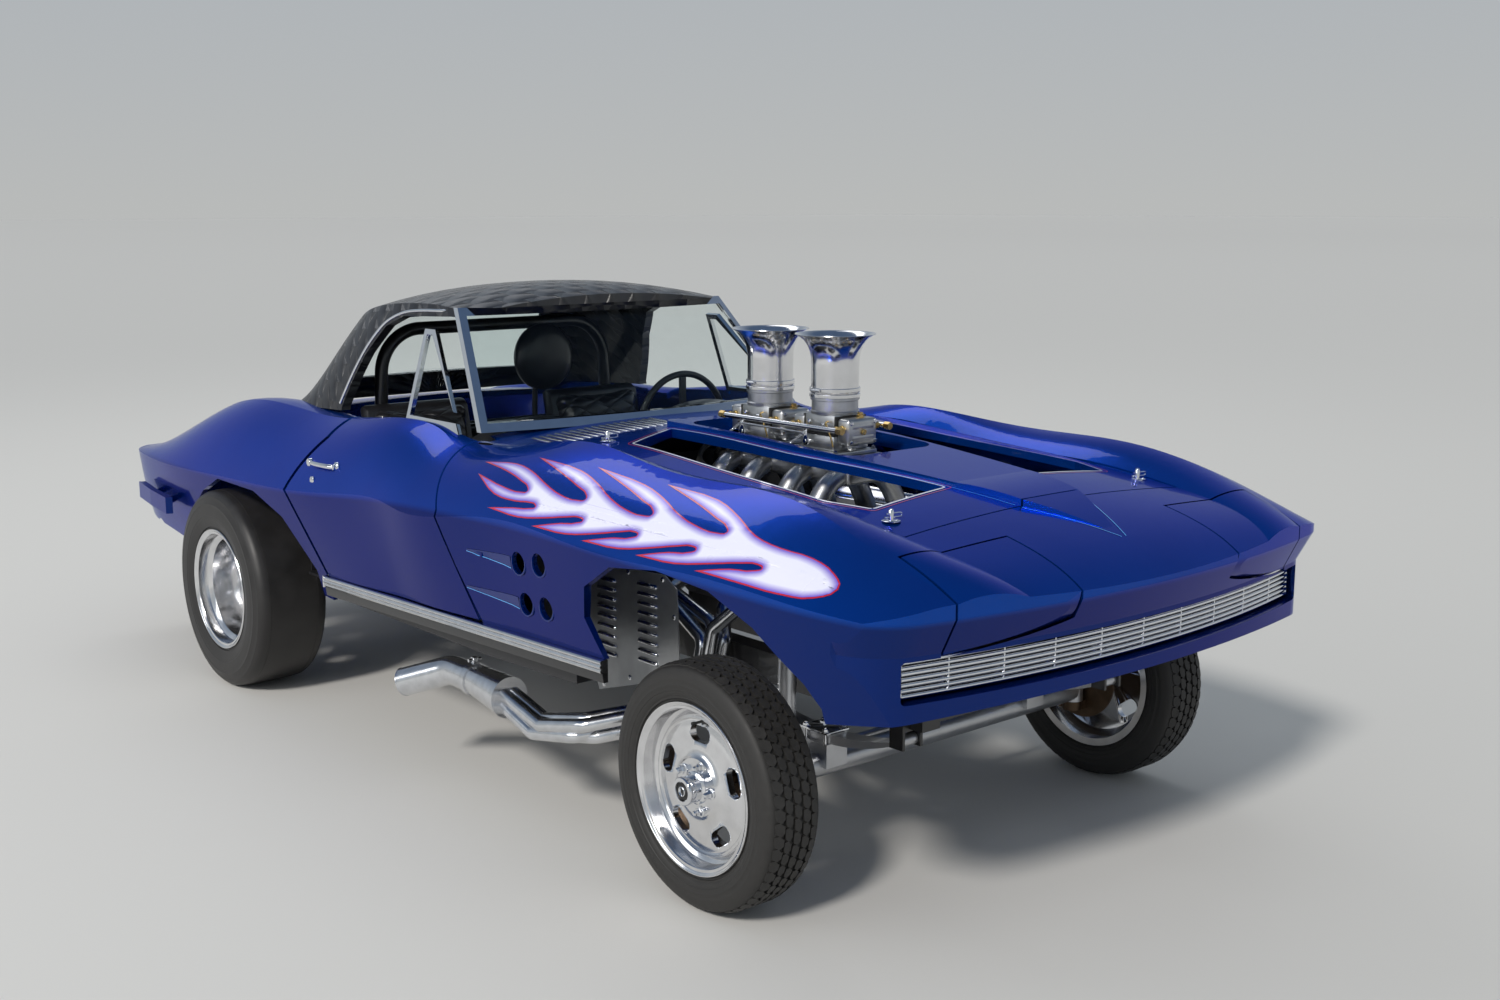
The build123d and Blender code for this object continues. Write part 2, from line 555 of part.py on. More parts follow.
# Floor tub: pan, tunnel, sills, firewall and the bulkhead behind the seats
FLOOR_Z, FLOOR_T = 440 + FIT, 8
SILL_X, SILL_W, SILL_TOP = HALF_WIDTH - 152, 66, 496
FIREWALL_Y, BULKHEAD_Y = -574, 668
with BuildPart() as floor:
    with BuildSketch(Plane.XY.offset(FLOOR_Z)):
        with Locations((0, 0.5 * (FIREWALL_Y + BULKHEAD_Y))):
            Rectangle(2 * SILL_X, BULKHEAD_Y - FIREWALL_Y)
    extrude(amount=FLOOR_T)
    with BuildSketch(Plane.XZ.offset(-FIREWALL_Y)):
        with BuildLine():
            Polyline((150, FLOOR_Z), (-150, FLOOR_Z), (-110, 640))
            ThreePointArc((-110, 640), (0, 672), (110, 640))
            Line((110, 640), (150, FLOOR_Z))
        make_face()
    extrude(amount=-(BULKHEAD_Y - FIREWALL_Y))
    with BuildSketch(Plane.XZ.offset(-FIREWALL_Y + 8)):
        with BuildLine():
            Polyline((142, FLOOR_Z - 20), (-142, FLOOR_Z - 20), (-142, FLOOR_Z), (-102, 636))
            ThreePointArc((-102, 636), (0, 664), (102, 636))
            Polyline((102, 636), (142, FLOOR_Z), (142, FLOOR_Z - 20))
        make_face()
    extrude(amount=-(BULKHEAD_Y - FIREWALL_Y + 16), mode=Mode.SUBTRACT)
    with BuildSketch(Plane.YZ.offset(-SILL_X - SILL_W)):
        Polygon((FA + 480, 448), (FA + 480, SILL_TOP), (330, SILL_TOP), (330, 432), (-590, 432), align=None)
    extrude(amount=SILL_W)
    with BuildSketch(Plane.YZ.offset(SILL_X)):
        Polygon((FA + 480, 448), (FA + 480, SILL_TOP), (330, SILL_TOP), (330, 432), (-590, 432), align=None)
    extrude(amount=SILL_W)
    with BuildSketch(Plane.XZ.offset(-FIREWALL_Y)):
        Polygon(*mirrored(((0, FLOOR_Z), (SILL_X - 82, FLOOR_Z), (SILL_X - 82, 800), (CABIN_X, 930),
                           (0, 930))), align=None)
        with BuildLine():
            Polyline((142, FLOOR_Z - 20), (-142, FLOOR_Z - 20), (-142, FLOOR_Z), (-102, 600), (102, 600),
                     (142, FLOOR_Z), (142, FLOOR_Z - 20))
        make_face(mode=Mode.SUBTRACT)
    extrude(amount=-6)
    with BuildSketch(Plane.XZ.offset(-BULKHEAD_Y)):
        Polygon(*mirrored(((0, FLOOR_Z), (SILL_X - 12, FLOOR_Z), (SILL_X - 12, 560), (CABIN_X + 10, 700),
                           (CABIN_X, 900), (0, 900))), align=None)
    extrude(amount=-6)
save(floor, "floor")

SEAT_X, SEAT_W = 360, 400
DASH_FRONT = -230 + FIT
with BuildPart() as dash:
    with BuildSketch(Plane.XZ.offset(-DASH_FRONT)):
        with BuildLine():
            Polyline((-560, 960), (-560, 820), (560, 820), (560, 960))
            ThreePointArc((560, 960), (310, 1012), (40, 925))
            Line((40, 925), (-40, 925))
            ThreePointArc((-40, 925), (-310, 1012), (-560, 960))
        make_face()
    extrude(amount=-120)
    with BuildSketch(Plane.XZ.offset(110)):
        with Locations((SEAT_X, 905)):
            Circle(28)
    extrude(amount=-50)
    with BuildSketch(Plane.XZ.offset(90)):
        with Locations((SEAT_X, 905)):
            Circle(16)
    extrude(amount=-30, mode=Mode.SUBTRACT)
save(dash, "dash")

with BuildPart() as seat:
    with BuildSketch(Plane.YZ.offset(SEAT_X - 0.5 * SEAT_W)):
        with BuildLine():
            Polyline((-40, FLOOR_Z + FLOOR_T + FIT), (470, FLOOR_Z + FLOOR_T + FIT), (585, 1000), (505, 1010),
                     (390, 640), (-20, 660), (-40, FLOOR_Z + FLOOR_T + FIT))
        make_face()
        fillet(vertices().group_by(Axis.Y)[-1] + vertices().group_by(Axis.Y)[-2], 30)
    extrude(amount=SEAT_W)
save_both(seat, "seats")

HOOP_X, HOOP_Y, HOOP_TOP, HOOP_R = 450, 628, 1240, 22
with BuildPart() as roll_bar:
    with BuildLine() as hoop:
        FilletPolyline((-HOOP_X - 30, HOOP_Y, FLOOR_Z + FLOOR_T), (-HOOP_X, HOOP_Y, HOOP_TOP),
                       (HOOP_X, HOOP_Y, HOOP_TOP), (HOOP_X + 30, HOOP_Y, FLOOR_Z + FLOOR_T), radius=150)
    with BuildSketch(Plane(origin=hoop.line @ 0, z_dir=hoop.line % 0)):
        Circle(HOOP_R)
    sweep(path=hoop.line)
    with BuildLine() as crossbar:
        Line((-HOOP_X - 16, HOOP_Y, 880), (HOOP_X + 16, HOOP_Y, 880))
    with BuildSketch(Plane(origin=crossbar.line @ 0, z_dir=crossbar.line % 0)):
        Circle(HOOP_R - 4)
    sweep(path=crossbar.line)
    with BuildSketch(Plane.XY.offset(0)):
        Rectangle(2000, 3000)
    extrude(amount=FLOOR_Z + FLOOR_T + FIT, mode=Mode.SUBTRACT)
save(roll_bar, "roll_bar")

# Engine: one plain block with its heads
with BuildPart() as engine_block:
    with BuildSketch(Plane.XZ.offset(620)):
        Polygon((-120, 440), (120, 440), (130, 520), (300, 705), (215, 800), (120, 740), (-120, 740),
                (-215, 800), (-300, 705), (-130, 520), align=None)
    extrude(amount=640)
    with BuildSketch(Plane.XZ.offset(612)):
        with Locations((0, 520)):
            Circle(125)
    extrude(amount=10)
save(engine_block, "engine_block")

with BuildPart() as valve_cover:
    with BuildSketch(Plane((257.8, -940, 752.8), x_dir=(0, 1, 0), z_dir=(95, 0, 85))):
        RectangleRounded(560, 122, 20)
    extrude(amount=72)
    with BuildSketch(Plane((257.8 + 52.9, -940, 752.8 + 47.3), x_dir=(0, 1, 0), z_dir=(95, 0, 85))):
        with GridLocations(0, 12, 1, 8):
            Rectangle(500, 5)
    extrude(amount=8)
save_both(valve_cover, "valve_covers")

with BuildPart() as intake_manifold:
    with BuildSketch(Plane.XY.offset(740 + FIT)):
        with Locations((0, -975)):
            Rectangle(220, 520)
    with BuildSketch(Plane.XY.offset(960)):
        with Locations((0, -975)):
            Rectangle(180, 480)
    loft(ruled=True)
    with BuildSketch(Plane.XY.offset(960)):
        with Locations((0, -975)):
            Rectangle(190, 500)
    extrude(amount=22)
save(intake_manifold, "intake_manifold")

CARB_Y = (-1110, -840)
CARB_LOW, CARB_TOP, STACK_TOP = 982 + FIT, 1135, 1308
with BuildPart() as carburettors:
    for y in CARB_Y:
        with BuildSketch(Plane.XY.offset(CARB_LOW)):
            with Locations((0, y)):
                RectangleRounded(150, 170, 12)
        extrude(amount=30)
        with BuildSketch(Plane.XY.offset(CARB_LOW + 30)):
            with Locations((0, y)):
                RectangleRounded(130, 130, 14)
        extrude(amount=90)
        with BuildSketch(Plane.XY.offset(CARB_LOW + 40)):
            with Locations((0, y)):
                RectangleRounded(110, 226, 12)
        extrude(amount=62)
        with BuildSketch(Plane.XY.offset(CARB_LOW + 120)):
            with Locations((0, y)):
                Circle(64)
        extrude(amount=CARB_TOP - CARB_LOW - 120)
save(carburettors, "carburettors")

with BuildPart() as velocity_stacks:
    for y in CARB_Y:
        with BuildSketch(Plane.YZ):
            with BuildLine():
                Polyline((y, CARB_TOP + FIT), (y + 66, CARB_TOP + FIT), (y + 66, CARB_TOP + 95))
                ThreePointArc((y + 66, CARB_TOP + 95), (y + 78, CARB_TOP + 148), (y + 112, STACK_TOP))
                Line((y + 112, STACK_TOP), (y + 106, STACK_TOP))
                ThreePointArc((y + 106, STACK_TOP), (y + 74, CARB_TOP + 150), (y + 62, CARB_TOP + 97))
                Polyline((y + 62, CARB_TOP + 97), (y + 62, CARB_TOP + 6), (y, CARB_TOP + 6),
                         (y, CARB_TOP + FIT))
            make_face()
        revolve(axis=Axis((0, y, 0), (0, 0, 1)))
save(velocity_stacks, "velocity_stacks")

with BuildPart() as radiator:
    with BuildSketch(Plane.XY.offset(500 + FIT)):
        with Locations((0, FA - 318)):
            Rectangle(560, 50)
    extrude(amount=370)
save(radiator, "radiator")

# Fenderwell headers: four pipes leave each head, drop inside the fender panel, pass below it and
# meet in a collector with a turned-out tip. Each offset keeps one pipe clear of the other three
PIPE_R = 19
HEADER_OFFSETS = ((0, 0, 0), (-38, 0, -38), (0, 40, -38), (-38, 40, 0))
HEADER_PORTS = (-1210, -1080, -870, -740)
COLLECTOR_X, COLLECTOR_Y = HALF_WIDTH - 110, -640
TIP_R = 42


def header_side(sign):
    with BuildPart() as header:
        for (dx, dy, dz), port_y in zip(HEADER_OFFSETS, HEADER_PORTS):
            with BuildLine() as pipe:
                FilletPolyline(*[(sign * x, y, z) for x, y, z in (
                    (277.6, port_y, 665), (420 + dx, port_y - 10, 640 + dz), (455 + dx, -1135 + dy, 560 + dz),
                    (482 + dx, -1120 + dy, 385 + dz), (640 + dx, -1075 + dy, 352 + dz),
                    (COLLECTOR_X - 4 + dx, -985 + dy, 325 + dz),
                    (COLLECTOR_X + 16 + dx, -820 + dy, 290 + dz * 0.8),
                    (COLLECTOR_X + 13 + dx * 0.8, COLLECTOR_Y + 20, 335 + dz * 0.8))], radius=34)
            with BuildSketch(Plane(origin=pipe.line @ 0, z_dir=pipe.line % 0)):
                Circle(PIPE_R)
            sweep(path=pipe.line)
        with BuildSketch(Plane.XZ.offset(-COLLECTOR_Y)):
            with Locations((sign * COLLECTOR_X, 322)):
                Circle(58)
        with BuildSketch(Plane.XZ.offset(-COLLECTOR_Y - 170)):
            with Locations((sign * COLLECTOR_X, 335)):
                Circle(TIP_R + 2)
        loft()
        with BuildLine() as tip:
            FilletPolyline((sign * COLLECTOR_X, COLLECTOR_Y + 160, 335), (sign * COLLECTOR_X, -330, 335),
                           (sign * (COLLECTOR_X + 72), -185, 280), radius=90)
        with BuildSketch(Plane(origin=tip.line @ 0, z_dir=tip.line % 0)):
            Circle(TIP_R)
        sweep(path=tip.line)
    return header.part


with BuildPart() as headers:
    add(header_side(1))
    add(header_side(-1))
save(headers, "headers")

PANEL_X, PANEL_T = 550, 4
PANEL = ((FIREWALL_Y - FIT, 560), (-626, 600), (-718, 688), (-1057, 705), (-1108, 676), (-1120, 440),
         (-756, 330), (-710, 430), (FIREWALL_Y - FIT, 439))
LOUVRES, LOUVRE_STEP, LOUVRE_ROWS, LOUVRE_L = ((-800, 440), (-985, 455)), 26, 9, 84
with BuildPart() as fender_panel:
    with BuildSketch(Plane.YZ.offset(PANEL_X)):
        Polygon(*PANEL, align=None)
        for column_y, column_z in LOUVRES:
            with Locations(*[(column_y, column_z + LOUVRE_STEP * n) for n in range(LOUVRE_ROWS)]):
                SlotOverall(LOUVRE_L, 7, mode=Mode.SUBTRACT)
    extrude(amount=PANEL_T)
save_both(fender_panel, "fender_panels")

MOULD_X, MOULD_T = SILL_X + SILL_W + FIT, 26
with BuildPart() as rocker_moulding:
    with BuildSketch(Plane.YZ.offset(MOULD_X)):
        Polygon((ARCH_BACK + 17, 495), *MOULD_LINE, (330, 440), align=None)
    extrude(amount=MOULD_T)
save_both(rocker_moulding, "rocker_mouldings")

# Grille: seven bowed bars held by uprights inside the nose opening
GRILLE_BOW = (FA - 668, FA - 590)
BAR_R, BAR_COUNT, BAR_LOW, BAR_STEP = 3.5, 7, 645, 11.5
BAR_END = GRILLE_HALF - 12
UPRIGHT_X = [0.83 * BAR_END * n / 4 for n in range(-4, 5)]


def bow_y(x):
    return GRILLE_BOW[0] + (GRILLE_BOW[1] - GRILLE_BOW[0]) * (x / BAR_END) ** 2


with BuildPart() as grille:
    for n in range(BAR_COUNT):
        z = BAR_LOW + BAR_STEP * n
        with BuildLine() as bar:
            ThreePointArc((-BAR_END, GRILLE_BOW[1], z), (0, GRILLE_BOW[0], z), (BAR_END, GRILLE_BOW[1], z))
        with BuildSketch(Plane(origin=bar.line @ 0, z_dir=bar.line % 0)):
            Circle(BAR_R)
        sweep(path=bar.line)
    with BuildSketch(Plane.XY.offset(GRILLE_LOW + FIT)):
        with Locations(*[(x, bow_y(x)) for x in UPRIGHT_X]):
            Rectangle(5, 36)
    extrude(amount=GRILLE_TOP - GRILLE_LOW - 2 * FIT - 4)
save(grille, "grille")

# Each bumperette is a blade on two short stubs that seat on the body side. Each stub row: x, y
BUMPER_LINE = ((HALF_WIDTH - 18, RA + 440), (HALF_WIDTH - 32, RA + 560), (HALF_WIDTH - 44, RA + 655),
               (HALF_WIDTH - 78, RA + 860))
BUMPER_Z, BUMPER_H, BUMPER_T = 545, 60, 22
BUMPER_STUBS = ((HALF_WIDTH - 28, RA + 560), (HALF_WIDTH - 54, RA + 760))
with BuildPart() as bumperette:
    for x, y in BUMPER_STUBS:
        with BuildSketch(Plane.YZ.offset(x)):
            with Locations((y, BUMPER_Z + 0.5 * BUMPER_H)):
                Circle(12)
        extrude(amount=-120)
    add(BODY, mode=Mode.SUBTRACT)
    with BuildSketch(Plane.XY.offset(BUMPER_Z)):
        Polygon(*BUMPER_LINE, *[(x + BUMPER_T, y + 0.5 * BUMPER_T) for x, y in reversed(BUMPER_LINE)],
                align=None)
    extrude(amount=BUMPER_H)
save_both(bumperette, "bumperettes")

# Front axle: a straight tube under the springs, with an eye for each kingpin
AXLE_Z, AXLE_R = 272, 32
HUB_Z = FRONT_TYRE_R
with BuildPart() as front_axle:
    with BuildSketch(Plane.YZ.offset(-KINGPIN_X + 12)):
        with Locations((FA, AXLE_Z)):
            Circle(AXLE_R)
    extrude(amount=2 * KINGPIN_X - 24)
    with BuildSketch(Plane.XY.offset(AXLE_Z - AXLE_R)):
        with Locations((-KINGPIN_X, FA), (KINGPIN_X, FA)):
            Circle(30)
    extrude(amount=AXLE_R + 66)
    with BuildSketch(Plane.XY.offset(AXLE_Z)):
        with Locations((-SPRING_X, FA), (SPRING_X, FA)):
            Rectangle(SPRING_W + 20, 90)
    extrude(amount=62)
    with BuildSketch(Plane.XY.offset(AXLE_Z)):
        with Locations((-470, FA + 40), (470, FA + 40)):
            Rectangle(46, 56)
    extrude(amount=33)
    with Locations((-KINGPIN_X, FA, AXLE_Z), (KINGPIN_X, FA, AXLE_Z)):
        Cylinder(11 + FIT, 400, mode=Mode.SUBTRACT)
save(front_axle, "front_axle")

with BuildPart() as spring:
    with BuildSketch(Plane.YZ.offset(SPRING_X - 0.5 * SPRING_W)):
        with BuildLine():
            ThreePointArc((FA - EYE_Y, EYE_Z), (FA, AXLE_Z + 62 + FIT + 24), (FA + EYE_Y, EYE_Z))
            Line((FA + EYE_Y, EYE_Z), (FA + EYE_Y, EYE_Z - 8))
            ThreePointArc((FA + EYE_Y, EYE_Z - 8), (FA, AXLE_Z + 62 + FIT), (FA - EYE_Y, EYE_Z - 8))
            Line((FA - EYE_Y, EYE_Z - 8), (FA - EYE_Y, EYE_Z))
        make_face()
        with Locations((FA - EYE_Y, EYE_Z), (FA + EYE_Y, EYE_Z)):
            Circle(EYE_R)
        with Locations((FA - EYE_Y, EYE_Z), (FA + EYE_Y, EYE_Z)):
            Circle(6 + FIT, mode=Mode.SUBTRACT)
    extrude(amount=SPRING_W)
save_both(spring, "front_springs")

with BuildPart() as shock:
    with BuildLine() as front_shock:
        Line((470, FA + 45, AXLE_Z + 36), (450, FA + 60, 640))
    with BuildSketch(Plane(origin=front_shock.line @ 0, z_dir=front_shock.line % 0)):
        Circle(24)
    sweep(path=front_shock.line)
    with BuildLine() as rear_shock:
        Line((480, RA + 61, 300), (440, RA + 91, 640))
    with BuildSketch(Plane(origin=rear_shock.line @ 0, z_dir=rear_shock.line % 0)):
        Circle(26)
    sweep(path=rear_shock.line)
save_both(shock, "shock_absorbers")

REAR_HUB_Z = REAR_TYRE_R
with BuildPart() as rear_axle:
    with BuildSketch(Plane.YZ.offset(-618)):
        with Locations((RA, REAR_HUB_Z)):
            Circle(38)
    extrude(amount=2 * 618)
    with Locations((0, RA, REAR_HUB_Z)):
        Sphere(128)
    with BuildSketch(Plane.XZ.offset(-RA + 190)):
        with Locations((0, REAR_HUB_Z)):
            Circle(50)
    extrude(amount=-150)
    for sign in (-1, 1):
        with BuildSketch(Plane.YZ.offset(sign * 618)):
            with Locations((RA, REAR_HUB_Z)):
                Circle(125)
        extrude(amount=sign * 8)
        with BuildSketch(Plane.YZ.offset(sign * 600)):
            with Locations((RA, REAR_HUB_Z)):
                Circle(18)
        extrude(amount=sign * 138)
save(rear_axle, "rear_axle")

with BuildPart() as ladder_bar:
    with BuildSketch(Plane.YZ.offset(LADDER_X)):
        Polygon((RA - 60, 250), (RA + 50, 250), (RA + 50, 300), (RA - 40, 380), (360, 345), (360, 315),
                align=None)
        Polygon((RA - 80, 275), (RA - 110, 350), (480, 330), align=None, mode=Mode.SUBTRACT)
        with Locations((RA, REAR_HUB_Z)):
            Circle(38 + FIT, mode=Mode.SUBTRACT)
    extrude(amount=24)
save_both(ladder_bar, "ladder_bars")

# Wheels. Each row: name, centre x, axle y, hub z, rim width, tyre width, tyre radius, disc x, bore radius
SPINDLE_R = 16
WHEELS = (
    ("front", FRONT_WHEEL_X, FA, HUB_Z, 150, FRONT_TYRE_W, FRONT_TYRE_R, 762, SPINDLE_R),
    ("rear", REAR_WHEEL_X, RA, REAR_HUB_Z, 245, REAR_TYRE_W, REAR_TYRE_R, 700, 18),
)


HUB_CAP_R, HUB_CAP_L = 34, 46
NUT_CIRCLE, NUT_R, NUT_L = 57, 11, 26


def wheel_at(centre_x, axle_y, hub_z, rim_w, disc_x, bore):
    low, high = centre_x - 0.5 * rim_w, centre_x + 0.5 * rim_w
    seat = BEAD_SEAT_R
    with BuildPart() as wheel:
        with BuildSketch(Plane.XY.offset(hub_z)) as section:
            Polygon((low, axle_y + RIM_LIP_R), (low + 6, axle_y + RIM_LIP_R), (low + 8, axle_y + seat),
                    (low + 40, axle_y + seat), (low + 52, axle_y + seat - 18),
                    (high - 52, axle_y + seat - 18), (high - 40, axle_y + seat), (high - 8, axle_y + seat),
                    (high - 6, axle_y + RIM_LIP_R), (high, axle_y + RIM_LIP_R), (high - 2, axle_y + seat - 7),
                    (high - 38, axle_y + seat - 8), (high - 50, axle_y + seat - 26),
                    (low + 50, axle_y + seat - 26), (low + 38, axle_y + seat - 8),
                    (low + 2, axle_y + seat - 7), align=None)
            eye = axle_y + bore + 0.5
            Polygon((disc_x, eye), (disc_x, axle_y + seat - 24), (disc_x + 12, axle_y + seat - 24),
                    (disc_x + 18, axle_y + 75), (disc_x + 30, axle_y + 60), (disc_x + 30, eye), align=None)
            Polygon((disc_x - 60, axle_y + 122), (disc_x - 60, axle_y + 135), (disc_x, axle_y + 135),
                    (disc_x, eye), (disc_x - 8, eye), (disc_x - 8, axle_y + 122), align=None)
        revolve(axis=Axis((0, axle_y, hub_z), (1, 0, 0)))
        with BuildSketch(Plane.YZ.offset(disc_x + 0.5)):
            with Locations((axle_y, hub_z)):
                with PolarLocations(128, 5):
                    SlotOverall(62, 34, rotation=90)
        extrude(amount=40, mode=Mode.SUBTRACT)
        with BuildSketch(Plane.YZ.offset(disc_x + 30)):
            with Locations((axle_y, hub_z)):
                Circle(HUB_CAP_R)
        extrude(amount=HUB_CAP_L)
        with BuildSketch(Plane.YZ.offset(disc_x + 22)):
            with Locations((axle_y, hub_z)):
                with PolarLocations(NUT_CIRCLE, 5, start_angle=36):
                    RegularPolygon(NUT_R, 6)
        extrude(amount=NUT_L)
        with Locations((disc_x - 10, axle_y, hub_z)):
            Cylinder(bore + 0.5, 2 * (HUB_CAP_L + 10), rotation=(0, 90, 0), mode=Mode.SUBTRACT)
    return wheel


def tyre_at(centre_x, axle_y, hub_z, rim_w, tyre_w, radius):
    inner = BEAD_SEAT_R + FIT
    bead = 0.5 * rim_w - 8 - FIT
    half = 0.5 * tyre_w
    tread = half - 14
    belly = 0.5 * (inner + radius)
    with BuildPart() as tyre:
        with BuildSketch(Plane.XY.offset(hub_z)):
            with BuildLine():
                Polyline((centre_x - bead, axle_y + inner), (centre_x + bead, axle_y + inner),
                         (centre_x + bead, axle_y + inner + 18))
                ThreePointArc((centre_x + bead, axle_y + inner + 18), (centre_x + half, axle_y + belly),
                              (centre_x + tread, axle_y + radius - 6))
                ThreePointArc((centre_x + tread, axle_y + radius - 6), (centre_x, axle_y + radius),
                              (centre_x - tread, axle_y + radius - 6))
                ThreePointArc((centre_x - tread, axle_y + radius - 6), (centre_x - half, axle_y + belly),
                              (centre_x - bead, axle_y + inner + 18))
                Line((centre_x - bead, axle_y + inner + 18), (centre_x - bead, axle_y + inner))
            make_face()
        revolve(axis=Axis((0, axle_y, hub_z), (1, 0, 0)))
    return tyre


for name, centre_x, axle_y, hub_z, rim_w, tyre_w, radius, disc_x, bore in WHEELS:
    save_pair(wheel_at(centre_x, axle_y, hub_z, rim_w, disc_x, bore), f"wheel_{name}")
    save_pair(tyre_at(centre_x, axle_y, hub_z, rim_w, tyre_w, radius), f"tyre_{name}")

# Knuckles turn about the kingpins and carry the spindles and steering arms
ARM_X, ARM_Y, ARM_Z = KINGPIN_X, FA + 135, 225
with BuildPart() as knuckle:
    for low, high in ((AXLE_Z - 58, AXLE_Z - AXLE_R - 2), (AXLE_Z + 68, AXLE_Z + 92)):
        with BuildSketch(Plane.XY.offset(low)):
            with Locations((KINGPIN_X, FA)):
                Circle(28)
            with Locations((KINGPIN_X + 24, FA)):
                Rectangle(48, 50)
        extrude(amount=high - low)
    with BuildSketch(Plane.XY.offset(AXLE_Z - 58)):
        with Locations((KINGPIN_X + 40, FA)):
            Rectangle(14, 60)
    extrude(amount=150)
    with BuildSketch(Plane.XY.offset(AXLE_Z - 50)):
        with Locations((KINGPIN_X, FA)):
            Circle(11)
    extrude(amount=130)
    with BuildSketch(Plane.YZ.offset(KINGPIN_X + 33)):
        with Locations((FA, HUB_Z)):
            Circle(118)
    extrude(amount=6)
    with BuildSketch(Plane.YZ.offset(KINGPIN_X + 34)):
        with Locations((FA, HUB_Z)):
            Circle(SPINDLE_R)
    extrude(amount=780 - KINGPIN_X - 34)
    with BuildSketch(Plane.XY.offset(ARM_Z - 8)):
        Polygon((KINGPIN_X - 18, FA), (KINGPIN_X + 20, FA), (ARM_X + 16, ARM_Y), (ARM_X - 16, ARM_Y),
                align=None)
        with Locations((ARM_X, ARM_Y)):
            Circle(16)
    extrude(amount=18)
    with BuildSketch(Plane.XY.offset(ARM_Z)):
        with Locations((ARM_X, ARM_Y)):
            Circle(7)
    extrude(amount=40)
save_pair(knuckle, "knuckle")

with BuildPart() as tie_rod:
    with BuildSketch(Plane.YZ.offset(-ARM_X)):
        with Locations((ARM_Y, ARM_Z + 26)):
            Circle(11)
    extrude(amount=2 * ARM_X)
    with BuildSketch(Plane.XY.offset(ARM_Z + 15)):
        with Locations((-ARM_X, ARM_Y), (ARM_X, ARM_Y)):
            Circle(17)
    extrude(amount=22)
    with Locations((-ARM_X, ARM_Y, ARM_Z), (ARM_X, ARM_Y, ARM_Z)):
        Cylinder(7 + 0.5, 200, mode=Mode.SUBTRACT)
save(tie_rod, "tie_rod")

# Steering wheel in front of the left seat
WHEEL_HUB = (SEAT_X, 30, 905)
with BuildPart() as steering_wheel:
    with BuildSketch(Plane.YZ.offset(WHEEL_HUB[0])):
        with Locations((WHEEL_HUB[1], WHEEL_HUB[2] + 180)):
            Circle(11)
    revolve(axis=Axis(WHEEL_HUB, (0, 1, 0)))
    with BuildSketch(Plane.XZ.offset(-WHEEL_HUB[1])):
        with Locations((WHEEL_HUB[0], WHEEL_HUB[2])):
            Circle(38)
            with PolarLocations(95, 3, start_angle=90):
                Rectangle(172, 24)
    extrude(amount=5, both=True)
    with BuildSketch(Plane.XZ.offset(88)):
        with Locations((WHEEL_HUB[0], WHEEL_HUB[2])):
            Circle(15)
    extrude(amount=-(88 + WHEEL_HUB[1]))
save(steering_wheel, "steering_wheel")
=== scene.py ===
# %% [markdown]
# A drag racing car, finished in Blender around a fixed CAD frame.
# The frame already has every part in its place. Here each part gets its paint, metal, rubber or
# leather, and the plain parts are exchanged for finely modelled ones.

# %% Load the frame
import math

import bmesh
import bpy
from mathutils import Matrix, Vector
from mathutils.kdtree import KDTree


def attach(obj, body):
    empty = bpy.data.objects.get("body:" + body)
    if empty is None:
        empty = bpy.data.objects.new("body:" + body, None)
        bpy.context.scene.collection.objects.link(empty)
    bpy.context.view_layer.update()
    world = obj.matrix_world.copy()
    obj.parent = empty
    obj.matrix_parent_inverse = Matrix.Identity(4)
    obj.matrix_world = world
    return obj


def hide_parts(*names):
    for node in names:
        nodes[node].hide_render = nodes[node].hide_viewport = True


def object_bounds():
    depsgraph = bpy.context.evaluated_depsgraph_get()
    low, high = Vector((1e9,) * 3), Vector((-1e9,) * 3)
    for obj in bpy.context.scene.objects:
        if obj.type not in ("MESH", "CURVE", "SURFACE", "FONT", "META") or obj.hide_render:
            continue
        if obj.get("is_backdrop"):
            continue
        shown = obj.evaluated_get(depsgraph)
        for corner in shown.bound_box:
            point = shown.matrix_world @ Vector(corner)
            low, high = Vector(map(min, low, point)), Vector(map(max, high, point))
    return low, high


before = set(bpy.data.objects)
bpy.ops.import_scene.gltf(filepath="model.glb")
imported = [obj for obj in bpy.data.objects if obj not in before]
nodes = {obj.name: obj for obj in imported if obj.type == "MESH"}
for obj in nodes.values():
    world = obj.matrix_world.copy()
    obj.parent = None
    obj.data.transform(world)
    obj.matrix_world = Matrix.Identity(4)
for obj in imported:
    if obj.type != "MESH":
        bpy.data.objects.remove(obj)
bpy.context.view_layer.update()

FRONT_AXLE, REAR_AXLE = -1.485, 1.045
SIDES = {"right": -1, "left": 1}

# %% [markdown]
# The camera stands at eye height off the right front corner, as a photographer would who wants
# the nose, the flames and both right wheels in one picture.

# %% Camera
CAMERA_PLACE, CAMERA_TURN = (-3.0886, -4.3868, 1.6519), (79.845, 0.069, -40.347)
LENS_MM, SENSOR_MM = 39.54, 36
bpy.ops.object.camera_add(location=CAMERA_PLACE)
camera = bpy.context.object
camera.rotation_euler = [math.radians(a) for a in CAMERA_TURN]
camera.data.lens, camera.data.sensor_width = LENS_MM, SENSOR_MM
bpy.context.scene.camera = camera
print("camera lens", camera.data.lens)

# %% [markdown]
# A plain pale floor reaches to the horizon and meets a pale room there. A noise of very low
# contrast keeps the floor from looking like paper. The floor stays an ordinary matt material,
# so it takes the car's shadow.

